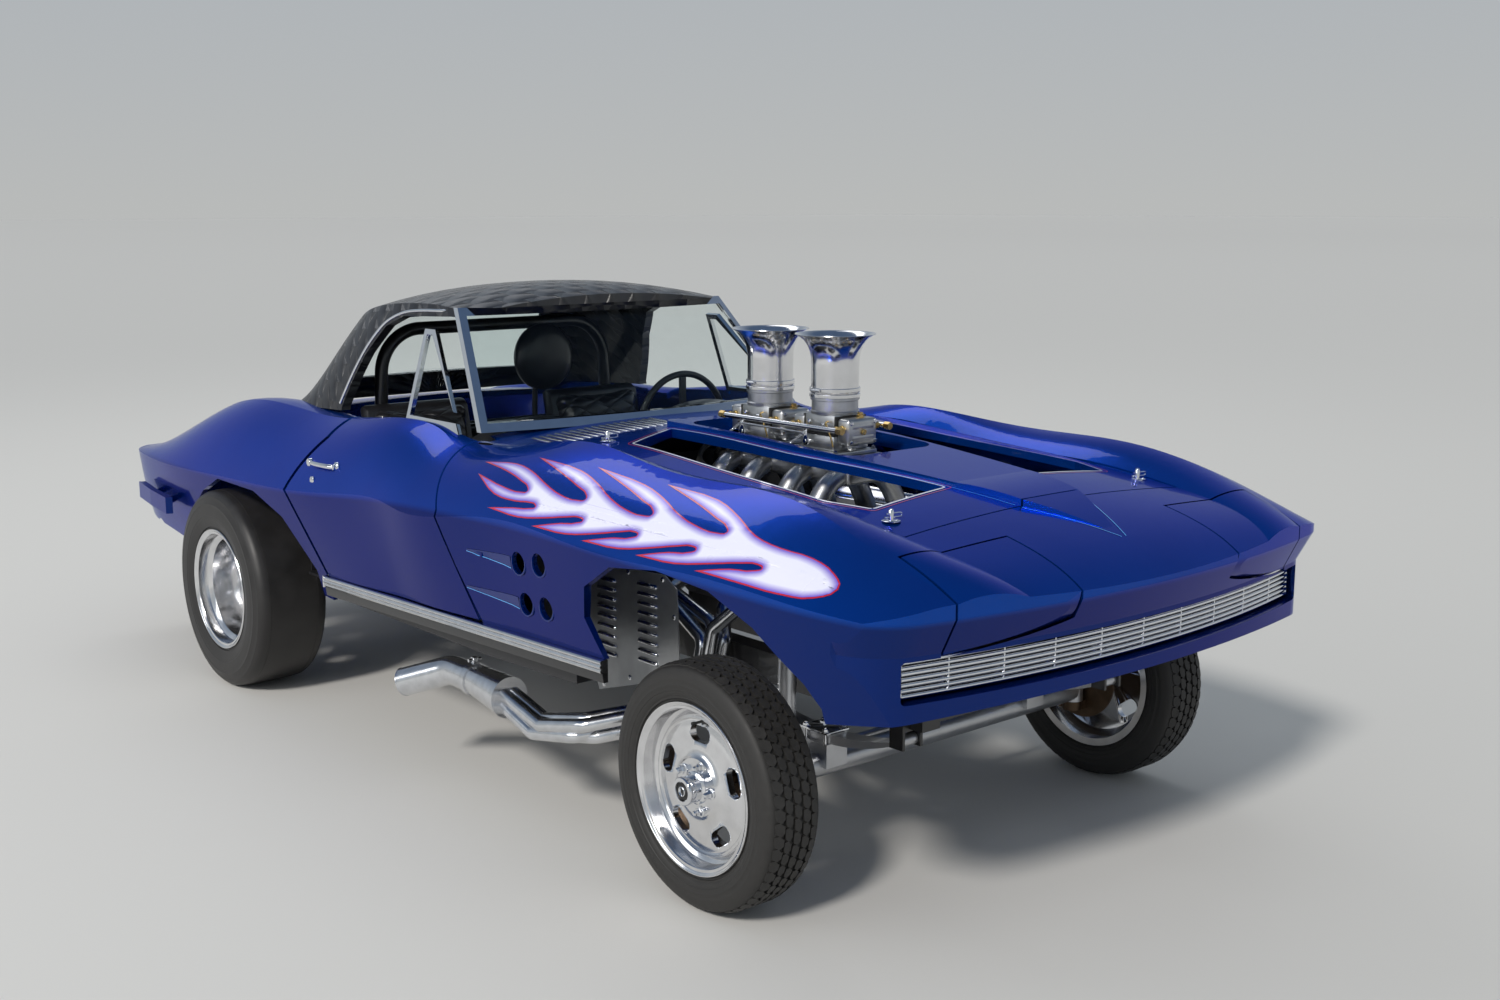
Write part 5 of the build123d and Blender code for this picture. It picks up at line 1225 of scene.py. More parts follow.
# %% Valve covers
COVER_UP, COVER_ALONG, COVER_PLACE = Vector((0.7453, 0, 0.6668)), Vector((0, 1, 0)), (0.2578, -0.940, 0.7528)


def tilted(pieces, name):
    """Join pieces that were built flat and stand them on the slanted face."""
    piece = joined(name, pieces)
    across = COVER_UP.cross(COVER_ALONG)
    frame_rows = zip(COVER_ALONG, across, COVER_UP, COVER_PLACE)
    piece.matrix_world = Matrix([*frame_rows, (0, 0, 0, 1)])
    bpy.context.view_layer.update()
    return settle(piece)


cover = [block("cover_flange", (-0.280, -0.061, 0.0), (0.280, 0.061, 0.007), 0.002),
         block("cover_shell", (-0.268, -0.054, 0.006), (0.268, 0.054, 0.062), 0.014, 4)]
fin = block("cover_fin", (-0.245, -0.0470, 0.060), (0.245, -0.0430, 0.072), 0.0015)
cover.append(row_of(fin, 8, (0, 0.0128, 0)))
cover_bolts = [bolt(f"cover_bolt_{x}_{v}", (x, v, 0.007), "Z", 0.005) for x in (-0.25, -0.085, 0.085, 0.25)
               for v in (-0.0575, 0.0575)]
breather = turned("cover_breather",
                  [(0.060, 0.0), (0.060, 0.018), (0.078, 0.018), (0.079, 0.034), (0.082, 0.037),
                   (0.104, 0.037), (0.108, 0.033), (0.109, 0.0)], (0.205, 0.0, 0.0), "Z", 36)
bright = tilted([joined("cover_bits", cover_bolts + [breather])], "cover_bright_left")
cover_left = tilted(cover, "valve_cover_left")
put_pair(cover_left, "valve_cover_right", "chassis", polished, "valve_covers")
put_pair(bright, "cover_bright_right", "chassis", chrome)
print("valve cover bolts", len(cover_bolts))

# %% [markdown]
# What shows through the two hood openings is hoses, wires, the fan and the distributor. Most are
# rods along a smooth path or turned pieces. The fan is one twisted plate, repeated about its hub.

# %% Engine dressing
FAN_PLACE, WIRES, TOWER_R, TOWER_Y, TOWER_Z = (0, -1.690, 0.700), 8, 0.033, -0.655, 0.935
hoses = [rod("top_hose",
             ((0.06, -1.770, 0.830), (0.07, -1.700, 0.845), (0.03, -1.560, 0.880), (0.0, -1.400, 0.860),
              (0.0, -1.300, 0.815), (0.0, -1.236, 0.784)), 0.022, 4, 8, 5),
         rod("heater_hose_a",
             ((-0.20, -0.570, 0.86), (-0.24, -0.72, 0.90), (-0.16, -0.95, 0.895), (-0.15, -1.22, 0.86),
              (-0.11, -1.31, 0.83), (-0.08, -1.315, 0.785), (-0.07, -1.240, 0.770)), 0.011, 4, 8, 4),
         rod("heater_hose_b",
             ((-0.24, -0.570, 0.83), (-0.29, -0.74, 0.885), (-0.19, -0.97, 0.875), (-0.17, -1.24, 0.83),
              (-0.14, -1.31, 0.78), (-0.10, -1.320, 0.715), (-0.09, -1.250, 0.690)), 0.011, 4, 8, 4)]
distributor = turned("distributor", [(0.0, 0.0), (0.0, 0.030), (0.060, 0.030), (0.066, 0.050), (0.100, 0.048),
                                     (0.108, 0.036), (0.110, 0.0)], (0.0, TOWER_Y, 0.830), "Z", 24)
tower = turned("tower", [(0.0, 0.0075), (0.022, 0.006), (0.022, 0.0)], (TOWER_R, TOWER_Y, TOWER_Z), "Z", 10)
towers = ring_of(tower, WIRES, (0.0, TOWER_Y, TOWER_Z), "Z")
wires = []
for n in range(WIRES):
    sign, angle = (-1 if n % 2 else 1), n * math.tau / WIRES
    start = (TOWER_R * math.cos(angle), TOWER_Y + TOWER_R * math.sin(angle), 0.956)
    port_y = -0.74 - 0.135 * (n // 2)
    wires.append(rod(f"wire_{n}",
                     (start, (start[0] * 1.3, start[1], 0.985), (sign * 0.120, -0.665, 0.965),
                      (sign * 0.165, -0.700, 0.90), (sign * 0.150, port_y + 0.04, 0.860 + 0.006 * n),
                      (sign * 0.185, port_y, 0.845), (sign * 0.215, port_y, 0.80)), 0.0042, 4, 8, 2))
put(joined("hoses_and_wires", hoses + wires + [distributor, towers]), "chassis", black_rubber)

fan_blade = plate("fan_blade",
                  ((0.045, -0.020), (0.175, -0.034), (0.185, -0.020), (0.180, 0.024), (0.045, 0.020)),
                  -0.001, 0.001, "Z")
fan_blade.rotation_euler = (math.radians(28), 0, 0)
settle(fan_blade)
fan_blade.rotation_euler = (math.radians(90), 0, 0)
fan_blade.location = FAN_PLACE
settle(fan_blade)
fan = ring_of(fan_blade, 6, FAN_PLACE, "Y")
fan_hub = turned("fan_hub",
                 [(0.0, 0.0), (0.0, 0.052), (0.010, 0.052), (0.012, 0.030), (0.050, 0.030), (0.050, 0.075),
                  (0.056, 0.078), (0.062, 0.070), (0.068, 0.078), (0.074, 0.075), (0.074, 0.0)],
                 (0, -1.700, 0.700), "Y", 36)
alternator = turned("alternator",
                    [(0.0, 0.0), (0.0, 0.038), (0.012, 0.040), (0.014, 0.058), (0.030, 0.064),
                     (0.080, 0.064), (0.098, 0.056), (0.104, 0.030), (0.104, 0.0)], (-0.200, -1.450, 0.770),
                    "Y", 36)
cap = turned("radiator_cap",
             [(0.0, 0.024), (0.010, 0.024), (0.012, 0.033), (0.022, 0.033), (0.024, 0.026), (0.024, 0.0)],
             (-0.10, -1.803, 0.870), "Z", 24)
alternator_arm = block("alternator_arm", (-0.215, -1.362, 0.752), (-0.188, -1.254, 0.784), 0.003)
put(joined("fan_and_alternator", [fan, fan_hub, alternator, alternator_arm, cap]), "chassis", polished)
core = row_of(block("radiator_fin", (-0.262, -1.7775, 0.520), (0.262, -1.7755, 0.523), 0), 60, (0, 0, 0.0055))
put(core, "chassis", engine_dark)
print("hoses", len(hoses), "wires", len(wires))

# %% [markdown]
# The intake manifold is a plenum under the carburettors, a cover over the valley of the engine and
# four curved runners on each side, each with its flange on the head.

# %% Intake manifold
manifold = [block("plenum", (-0.062, -1.232, 0.905), (0.062, -0.718, 0.962), 0.012, 3),
            block("plenum_top", (-0.092, -1.222, 0.962), (0.092, -0.728, 0.982), 0.004),
            block("valley", (-0.115, -1.250, 0.741), (0.115, -0.700, 0.800), 0.010)]
for sign in (-1, 1):
    for y in (-1.195, -1.060, -0.890, -0.755):
        manifold.append(rod(f"runner_{sign}_{y}",
                            ((sign * 0.020, y, 0.940), (sign * 0.090, y, 0.930), (sign * 0.145, y, 0.865),
                             (sign * 0.175, y, 0.800), (sign * 0.185, y, 0.770)), 0.0285, 3, 8, 6))
        manifold.append(block(f"runner_flange_{sign}_{y}",
                              (min(sign * 0.140, sign * 0.215), y - 0.042, 0.766),
                              (max(sign * 0.140, sign * 0.215), y + 0.042, 0.782), 0.004))
put(joined("intake_manifold_cast", manifold), "chassis", brushed, "intake_manifold")
print("manifold pieces", len(manifold))

# %% [markdown]
# The louvres of the fender panels are round hoods pressed out of the sheet. One hood is a turned
# capsule, cut twice so that a quarter of it is left. An array repeats it up the panel.

# %% Louvres
PANEL_FACE = 0.554


def louvre_column(name, y, z):
    """One pressed hood, repeated up the panel."""
    capsule = turned(name,
                     [(-0.045, 0.0), (-0.0435, 0.0045), (-0.040, 0.0080), (-0.036, 0.0100), (0.036, 0.0100),
                      (0.040, 0.0080), (0.0435, 0.0045), (0.045, 0.0)], (0, 0, 0), "Y", 20)
    capsule.scale.x = 0.95
    settle(capsule)
    bpy.ops.object.mode_set(mode="EDIT")
    bpy.ops.mesh.select_all(action="SELECT")
    bpy.ops.mesh.bisect(plane_co=(0, 0, -0.001), plane_no=(0, 0, -1), use_fill=True, clear_outer=True)
    bpy.ops.mesh.select_all(action="SELECT")
    bpy.ops.mesh.bisect(plane_co=(0, 0, 0), plane_no=(-1, 0, 0), use_fill=True, clear_outer=True)
    bpy.ops.object.mode_set(mode="OBJECT")
    capsule.location = (PANEL_FACE - 0.0005, y, z + 0.001)
    return row_of(settle(capsule), 9, (0, 0, 0.026))


louvres = [louvre_column("louvre_rear", -0.800, 0.440), louvre_column("louvre_front", -0.985, 0.455)]
screws = []
for y, z in ((-0.640, 0.585), (-0.735, 0.672), (-0.900, 0.688), (-1.050, 0.692), (-1.098, 0.600),
             (-1.104, 0.480), (-0.900, 0.395), (-0.780, 0.350), (-0.605, 0.470)):
    screws.append(turned(f"panel_screw_{y}", [(0, 0.0075), (0.0015, 0.0072), (0.0035, 0.005), (0.004, 0.0)],
                         (PANEL_FACE, y, z), "X", 14))
hoods = joined("louvres_left", louvres + screws)
put_pair(hoods, "louvres_right", "chassis", ceramic)
print("louvres", len(hoods.data.polygons), "faces")

# %% [markdown]
# The rocker moulding is drawn as its cross-section, three bright ribs above a black sill, and
# extruded along the car. Its front end is then lifted, because the moulding climbs to the front.

# %% Rocker mouldings
RIBS = ((0.8185, 0.506), (0.8360, 0.506), (0.8400, 0.5045), (0.8425, 0.5010), (0.8410, 0.4970),
        (0.8375, 0.4955), (0.8410, 0.4940), (0.8435, 0.4895), (0.8410, 0.4850), (0.8375, 0.4835),
        (0.8410, 0.4820), (0.8425, 0.4780), (0.8400, 0.4740), (0.8360, 0.4725), (0.8185, 0.4725))
SILL = ((0.8185, 0.4720), (0.8345, 0.4720), (0.8355, 0.4700), (0.8320, 0.4440), (0.8185, 0.4440))


def rising(name, outline, drop):
    """A section extruded along the car, with its front end lifted."""
    strip = plate(name, outline, -1.172, 0.330, "Y")
    for vertex in strip.data.vertices:
        if vertex.co.y < -1:
            vertex.co.z += 0.0455 + (drop if vertex.co.z < 0.455 else 0)
    return strip


ribs, sill = rising("rocker_ribs_left", RIBS, 0), rising("rocker_sill_left", SILL, 0.004)
end_cap = block("rocker_end", (0.8185, 0.328, 0.470), (0.8425, 0.336, 0.508), 0.002)
ribs = joined("rocker_ribs_left", [ribs, end_cap])
put_pair(ribs, "rocker_ribs_right", "chassis", polished, "rocker_mouldings")
put_pair(sill, "rocker_sill_right", "chassis", frame_black)
print("rocker mouldings ready")

# %% [markdown]
# The grille has two layers of slim bars, bowed like the nose, tied by thin uprights. A dark screen
# behind it hides the inside of the nose and paints the shade there.

# %% Grille
def bow(x):
    """How far forward the nose is at x."""
    return -2.153 + 0.078 * (x / 0.723) ** 2


GRILLE_X = [-0.718 + 1.436 * n / 16 for n in range(17)]
front_bar = rod("grille_front", [(x, bow(x), 0.6445) for x in GRILLE_X], 0.0050, 3, 2, 3)
back_bar = rod("grille_back", [(x * 0.985, bow(x) + 0.024, 0.6500) for x in GRILLE_X], 0.0036, 3, 2, 3)
bars = [row_of(front_bar, 7, (0, 0, 0.0122)), row_of(back_bar, 6, (0, 0, 0.0122))]
for n in range(9):
    x = -0.60 + 0.15 * n
    bars.append(block(f"grille_upright_{n}", (x - 0.002, bow(x) - 0.0035, 0.6405),
                      (x + 0.002, bow(x) + 0.028, 0.7215), 0.0008))
for sign in (-1, 1):
    bars.append(rod(f"grille_end_{sign}",
                    ((sign * 0.718, bow(0.718), 0.6445), (sign * 0.7215, bow(0.72) + 0.002, 0.660),
                     (sign * 0.7215, bow(0.72) + 0.002, 0.702), (sign * 0.718, bow(0.718), 0.7177)), 0.0042,
                    3, 4, 3))
put(joined("grille_bars", bars), "chassis", chrome, "grille")
# The black screen is painted shade: it darkens the inside of the nose behind the bars.
screen_line = [(x, bow(x) + 0.046) for x in GRILLE_X]
screen = plate("grille_shade_screen", screen_line + [(x, y + 0.003) for x, y in reversed(screen_line)], 0.634,
               0.724, "Z")
put(screen, "chassis", black_rubber)

# %% [markdown]
# The lift-off hood is held by four pins. Each has a plate with three small screws and a spring clip
# through its top. A ray from above finds how high the hood is at each pin.

# %% Hood pins
def hood_height(x, y):
    """The height of the hood at a place, found by a ray from above."""
    return nodes["hood"].ray_cast(Vector((x, y, 1.5)), Vector((0, 0, -1)))[1].z


pins = []
for x, y in ((-0.458, -1.785), (-0.448, -0.665), (0.458, -1.785), (0.448, -0.665)):
    z = hood_height(x + 0.014, y)
    tag = f"{x}_{y}"
    pins += [turned(f"pin_plate_{tag}", [(0.0, 0.0), (0.0, 0.022), (0.0020, 0.022), (0.0032, 0.019),
                                         (0.0032, 0.0)], (x, y, z), "Z", 32),
             turned(f"pin_{tag}", [(0.0, 0.0065), (0.024, 0.0065), (0.029, 0.0035), (0.030, 0.0)],
                    (x, y, z), "Z", 16),
             rod(f"pin_clip_{tag}",
                 ((x - 0.016, y, z + 0.018), (x + 0.020, y, z + 0.018), (x + 0.034, y, z + 0.017),
                  (x + 0.036, y, z + 0.008), (x + 0.020, y + 0.006, z + 0.007),
                  (x - 0.014, y + 0.008, z + 0.009)), 0.0017, 3, 8, 2)]
    for angle in (0.8, 2.9, 5.0):
        pins.append(bolt(f"pin_screw_{tag}_{angle}",
                         (x + 0.0155 * math.cos(angle), y + 0.0155 * math.sin(angle), z + 0.0028), "Z",
                         0.0024))
put(joined("hood_pins", pins), "hood", chrome)
print("hood pin pieces", len(pins))

# %% [markdown]
# The cowl in front of the windshield has an air vent of seventeen slim slats. Each slat is lowered
# onto the body by itself, so the row follows the crown of the cowl.

# %% Cowl vent
SLATS = 17


def drop_on(piece, target, gap):
    """Lower the piece straight onto the target under its middle."""
    low = [min(v.co[k] for v in piece.data.vertices) for k in range(3)]
    high = [max(v.co[k] for v in piece.data.vertices) for k in range(3)]
    above = Vector((0.5 * (low[0] + high[0]), 0.5 * (low[1] + high[1]), 1.5))
    place = nodes[target].ray_cast(above, Vector((0, 0, -1)))[1]
    piece.location.z = place.z + gap - low[2]
    return settle(piece)


slats = []
for n in range(SLATS):
    x = -0.540 + 0.026 * n
    slat = block(f"cowl_slat_{n}", (x, -0.072, 0.0), (x + 0.011, 0.072, 0.0060), 0.0015)
    slat.rotation_euler = (math.radians(0.8), 0, 0)
    slat.location.y = -0.490
    slats.append(drop_on(settle(slat), "front_body", -0.0012))
put(joined("cowl_slats", slats), "chassis", ceramic)
print("cowl slats", len(slats))

# %% [markdown]
# A door handle is a curved grip with a push button behind it and a round lock below. The handles
# ride on the doors, so they swing with them.

# %% Door handles and locks
HANDLE_TURNED = (
    ("handle_lock", (0.8620, 0.330, 0.812),
     ((0.0, 0.0), (0.0, 0.0140), (0.003, 0.0140), (0.0045, 0.0115), (0.0045, 0.0))),
    ("handle_button", (0.8350, 0.388, 0.861),
     ((0.0, 0.0), (0.0, 0.0130), (0.010, 0.0130), (0.012, 0.0110), (0.012, 0.0))),
    ("handle_foot", (0.8360, 0.210, 0.867),
     ((0.0, 0.0), (0.0, 0.0150), (0.004, 0.0150), (0.008, 0.009), (0.016, 0.008), (0.016, 0.0))))
handle_parts = []
for name, place, profile in HANDLE_TURNED:
    piece = turned(name, profile, axis="X", steps=24)
    piece.location = place
    handle_parts.append(settle(piece))
grip = rod("handle_grip", ((0.8380, 0.205, 0.866), (0.8540, 0.213, 0.868), (0.8610, 0.235, 0.868),
                           (0.8600, 0.305, 0.866), (0.8540, 0.358, 0.864), (0.8360, 0.370, 0.862)),
           0.0075, 3, 8, 4)
handle_left = joined("door_handle_left", [*handle_parts, grip])
handle_right = other_side(handle_left, "door_handle_right")
put(handle_left, "door_left", chrome)
put(handle_right, "door_right", chrome)
print("handles", handle_left.name, handle_right.name)

# %% [markdown]
# Four round lamps sit in wells in the tail panel: a red domed lens in a rolled chrome ring each.

# %% Tail lamps
LAMP_X, LAMP_WELL = (-0.52, -0.38, 0.38, 0.52), (2.1885, 0.592)
for n, x in enumerate(LAMP_X):
    place = (x, *LAMP_WELL)
    lens = turned(f"tail_lens_{n}",
                  [(0.0, 0.0), (0.0, 0.044), (0.006, 0.044), (0.012, 0.036), (0.016, 0.022), (0.0175, 0.0)],
                  place, "Y", 48)
    ring = turned(f"tail_ring_{n}",
                  [(0.0, 0.0435), (0.0, 0.0505), (0.014, 0.0505), (0.017, 0.0490), (0.017, 0.0460),
                   (0.012, 0.0435), (0.0, 0.0435)], place, "Y", 48)
    put(lens, "chassis", lamp_red)
    put(ring, "chassis", chrome)
print("tail lamps", len(LAMP_X))

# %% [markdown]
# The seats are padded. Each cushion starts as a rounded block that is a little too small. A voxel
# remesh gives it an even skin, and a cloth simulation with inner pressure swells it. The solved
# shape is applied, so the cushion ends as an ordinary mesh.

# %% Padded pieces
ROUND_OFF, VOXEL, PRESSURE, CLOTH_FRAMES, LARGEST_SWELL = 0.035, 0.0075, 4.0, 20, 0.024


def padded(name, low, high):
    """A block swollen by inner pressure."""
    piece = block(name, low, high, ROUND_OFF, 4)
    activate(piece)
    bpy.ops.object.modifier_add(type="REMESH")
    remesh = piece.modifiers[-1]
    remesh.mode, remesh.voxel_size = "VOXEL", VOXEL
    bpy.ops.object.modifier_apply(modifier=remesh.name)
    start = [vertex.co.copy() for vertex in piece.data.vertices]
    bpy.ops.object.modifier_add(type="CLOTH")
    cloth = piece.modifiers[-1]
    cloth.settings.use_pressure = True
    cloth.settings.uniform_pressure_force = PRESSURE
    cloth.settings.effector_weights.gravity = 0
    cloth.settings.quality = 6
    for step in range(1, CLOTH_FRAMES + 1):
        bpy.context.scene.frame_set(step)
    bpy.ops.object.modifier_apply(modifier=cloth.name)
    bpy.context.scene.frame_set(1)
    for vertex, before in zip(piece.data.vertices, start):
        move = vertex.co - before
        if move.length > LARGEST_SWELL:
            vertex.co = before + move.normalized() * LARGEST_SWELL
    bpy.ops.object.modifier_add(type="SMOOTH")
    smooth = piece.modifiers[-1]
    smooth.factor, smooth.iterations = 0.5, 6
    bpy.ops.object.modifier_apply(modifier=smooth.name)
    bpy.ops.object.shade_smooth()
    return piece


print("a cushion swells over", CLOTH_FRAMES, "frames")

# %% [markdown]
# The seat leather is stitched in diamonds. Two sets of slanted lines cross, and the relief dips
# along each line, so every diamond looks stuffed.

# %% Diamond leather
DIAMOND_SIZE, DIAMOND_DEPTH = 0.085, 0.010
diamond = finish("diamond_leather", (0.012, 0.012, 0.014), 0.34, coat=0.3, vary=0.2,
                 relief=0.4, grain=900)
tree = diamond.node_tree
x, y, z = split_place(diamond)
rise = math_node(tree, "ADD", y, z)
ways = []
for operation in ("ADD", "SUBTRACT"):
    slant = math_node(tree, "DIVIDE", math_node(tree, operation, rise, math_node(tree, "MULTIPLY", x, 0.8)),
                      DIAMOND_SIZE)
    ways.append(math_node(tree, "ABSOLUTE",
                          math_node(tree, "SINE", math_node(tree, "MULTIPLY", slant, math.pi))))
relief_over(diamond, math_node(tree, "POWER", math_node(tree, "MULTIPLY", ways[0], ways[1]), 0.35),
            DIAMOND_DEPTH)
print("diamond leather nodes", len(tree.nodes))

# %% [markdown]
# Each seat has a cushion and a back in diamond leather and a plain shell behind. The left seat is
# mirrored to the right one. The driver also has a headrest, on a stem that stands on the hoop.

# %% Seats
cushion = padded("seat_cushion_left", (0.178, -0.020, 0.466), (0.542, 0.420, 0.630))
back = padded("seat_back_left", (-0.182, -0.045, -0.235), (0.182, 0.045, 0.235))
back.rotation_euler = (math.radians(-17), 0, 0)
back.location = (0.36, 0.500, 0.765)
settle(back)
shell = plate("seat_shell_left",
              ((0.470, 0.452), (0.500, 0.452), (0.612, 0.985), (0.590, 1.000), (0.555, 0.985),
               (0.462, 0.600)), 0.168, 0.552, "X", 0.010)
soft = [*put_pair(cushion, "seat_cushion_right", "chassis", diamond, "seats"),
        *put_pair(back, "seat_back_right", "chassis", diamond)]
put_pair(shell, "seat_shell_right", "chassis", leather)
head = turned("headrest",
              [(0.0, 0.0), (0.0, 0.085), (0.010, 0.105), (0.026, 0.118), (0.044, 0.118), (0.060, 0.104),
               (0.068, 0.080), (0.071, 0.045), (0.071, 0.0)], (0.150, 0.600, 1.120), "-Y", 48, 60)
put(head, "chassis", leather)
stem = rod("headrest_stem",
           ((0.15, 0.628, 0.884), (0.15, 0.628, 1.000), (0.15, 0.618, 1.080), (0.15, 0.580, 1.120)), 0.010,
           4, 8, 4)
put(stem, "chassis", engine_dark)
print("seats", len(cushion.data.polygons), "faces")

# %% [markdown]
# Six gauges stand on the dash. Each is a dial in a turned bezel with a thin needle, and one table
# gives the place and radius of them all. A gear lever and a horn cap complete the cabin.

# %% Dash and controls
GAUGES = ((0.255, 0.930, 0.052), (0.465, 0.930, 0.052), (0.110, 0.895, 0.030),
          (-0.06, 0.895, 0.024), (0.0, 0.895, 0.024), (0.06, 0.895, 0.024))
DASH_Y = -0.1095
bezels, faces, needles = [], [], []
for n, (x, z, r) in enumerate(GAUGES):
    bezels.append(turned(f"bezel_{n}",
                         [(0.0, r - 0.004), (0.0, r + 0.004), (0.008, r + 0.004), (0.011, r),
                          (0.009, r - 0.004), (0.0, r - 0.004)], (x, DASH_Y, z), "Y", 36))
    faces.append(turned(f"dial_{n}", [(0.0, 0.0), (0.0, r - 0.003), (0.003, r - 0.003), (0.003, 0.0)],
                        (x, DASH_Y, z), "Y", 36))
    needles.append(rod(f"needle_{n}", ((x, -0.104, z), (x - 0.6 * r, -0.104, z + 0.4 * r)), 0.0012, 2, 2, 1))
put(joined("dial_bezels", bezels), "chassis", chrome)
put(joined("dial_faces", faces), "chassis", dial_white)
put(joined("dial_needles", needles), "chassis", edge_red)
shifter = joined("shifter",
                 [rod("shift_lever",
                      ((0.03, -0.020, 0.560), (0.03, -0.010, 0.660), (0.02, 0.030, 0.740),
                       (0.02, 0.045, 0.790)), 0.007, 3),
                  turned("shift_knob",
                         [(-0.024, 0.0), (-0.022, 0.010), (-0.012, 0.020), (0.0, 0.024), (0.012, 0.020),
                          (0.022, 0.010), (0.024, 0.0)], (0.02, 0.047, 0.808), "Z", 24)])
put(shifter, "chassis", chrome)
horn = turned("horn_cap", [(0.0, 0.0), (0.0, 0.032), (0.006, 0.030), (0.012, 0.018), (0.013, 0.0)],
              (0.360, 0.0355, 0.905), "Y", 32)
put(horn, "steering_wheel", chrome)
print("gauges", len(GAUGES))

# %% [markdown]
# Bright trim follows the roof above the side windows. Its path is found by looking from the side
# and taking the point where the view meets the roof.

# %% Roof trim
ROOF_EDGE = ((0.030, 1.332), (0.120, 1.331), (0.220, 1.327), (0.320, 1.319), (0.390, 1.300),
             (0.440, 1.276), (0.480, 1.232), (0.515, 1.180), (0.560, 1.090), (0.598, 1.010))


def roof_point(y, z):
    """The point of the roof that a ray from the right meets, a little outside it, or None."""
    hit, place, normal = nodes["hardtop"].ray_cast(Vector((-1.3, y, z)), Vector((1, 0, 0)))[:3]
    return tuple(place + normal * 0.003) if hit else None


rail = [point for point in (roof_point(y, z) for y, z in ROOF_EDGE) if point]
put_pair(rod("drip_rail_right", rail, 0.0055, 3, 6, 3), "drip_rail_left", "chassis", chrome)
print("rail points", len(rail))

# %% [markdown]
# Under the car: shock absorbers with their tubes, the bolts and plates that clamp the front springs,
# the collector clamps, and the rims of the exhaust tips, with a black disc in each mouth as painted
# shade of the bore.

# %% Chassis detail
COLLECTOR_X, SPRING_X, TIP_X, TIP_R = 0.774, 0.380, 0.846, 0.0372


def between(piece, start, end):
    """Stand a piece that was built along Z at the start, aimed at the end."""
    start, end = Vector(start), Vector(end)
    piece.rotation_euler = (end - start).to_track_quat("Z", "Y").to_euler()
    piece.location = start
    return settle(piece)


SHOCKS = (("front", (0.470, -1.440, 0.308), (0.450, -1.425, 0.640), 0.024),
          ("rear", (0.480, 1.106, 0.300), (0.440, 1.136, 0.640), 0.026))
for end, low, high, big in SHOCKS:
    length = (Vector(high) - Vector(low)).length
    body = turned(f"shock_body_{end}",
                  [(0.0, 0.0), (0.0, 0.014), (0.012, 0.017), (0.016, big - 0.003), (0.022, big - 0.001),
                   (0.55 * length, big - 0.001), (0.56 * length, big - 0.006), (0.565 * length, 0.0)],
                  axis="Z", steps=32)
    tube = turned(f"shock_tube_{end}",
                  [(0.50 * length, big - 0.001), (0.50 * length, big), (0.96 * length, big),
                   (0.98 * length, big - 0.006), (length, 0.012), (length, 0.0)], axis="Z", steps=32)
    shock = between(joined(f"shock_{end}_left", [body, tube]), low, high)
    put_pair(shock, f"shock_{end}_right", "chassis", silver,
             *(("shock_absorbers",) if end == "front" else ()))
clamps, mouth_shades = [], []
for sign in (-1, 1):
    x = sign * COLLECTOR_X
    clamps.append(turned(f"collector_clamp_{sign}",
                         [(0.0, 0.0430), (0.0, 0.0480), (0.022, 0.0480), (0.022, 0.0430), (0.0, 0.0430)],
                         (x, -0.472, 0.335), "Y", 40))
    clamps.append(rod(f"collector_bolt_{sign}", ((x - 0.02, -0.461, 0.392), (x + 0.02, -0.461, 0.392)),
                      0.005, 2))
    clamps.append(block(f"collector_ears_{sign}", (x - 0.008, -0.470, 0.380), (x + 0.008, -0.452, 0.400),
                        0.002))
    tip_end = Vector((sign * TIP_X, -0.185, 0.280))
    out = (tip_end - Vector((x, -0.330, 0.335))).normalized()
    lip = turned(f"tip_lip_{sign}",
                 [(0.0, 0.0375), (0.0, 0.0425), (0.004, 0.0430), (0.006, 0.0410), (0.004, 0.0375),
                  (0.0, 0.0375)], axis="Z", steps=40)
    clamps.append(between(lip, tip_end - out * 0.0005, tip_end + out))
    # A black disc across each tip mouth is painted shade of the bore.
    dark = turned(f"tip_mouth_shade_{sign}", [(0.0, 0.0), (0.0, TIP_R), (0.0012, TIP_R), (0.0012, 0.0)], axis="Z",
                  steps=40)
    mouth_shades.append(between(dark, tip_end - out * 0.0002, tip_end + out))
put(joined("exhaust_clamps", clamps), "chassis", ceramic)
put(joined("exhaust_mouth_shade", mouth_shades), "chassis", frame_black)
springs = []
for sign in (-1, 1):
    x, y = sign * SPRING_X, FRONT_AXLE
    for dy in (-0.035, 0.035):
        for dx in (-0.031, 0.031):
            springs.append(rod(f"u_bolt_{sign}_{dy}_{dx}",
                               ((x + dx, y + dy, 0.330), (x + dx, y + dy, 0.372)), 0.0045, 2))
            springs.append(bolt(f"u_nut_{sign}_{dy}_{dx}", (x + dx, y + dy, 0.366), "Z", 0.008))
    springs.append(block(f"spring_plate_{sign}", (x - 0.038, -1.535, 0.3595), (x + 0.038, -1.435, 0.3660),
                         0.002))
put(joined("spring_clamps", springs), "chassis", chrome)
print("clamp pieces", len(clamps), "spring clamp pieces", len(springs))
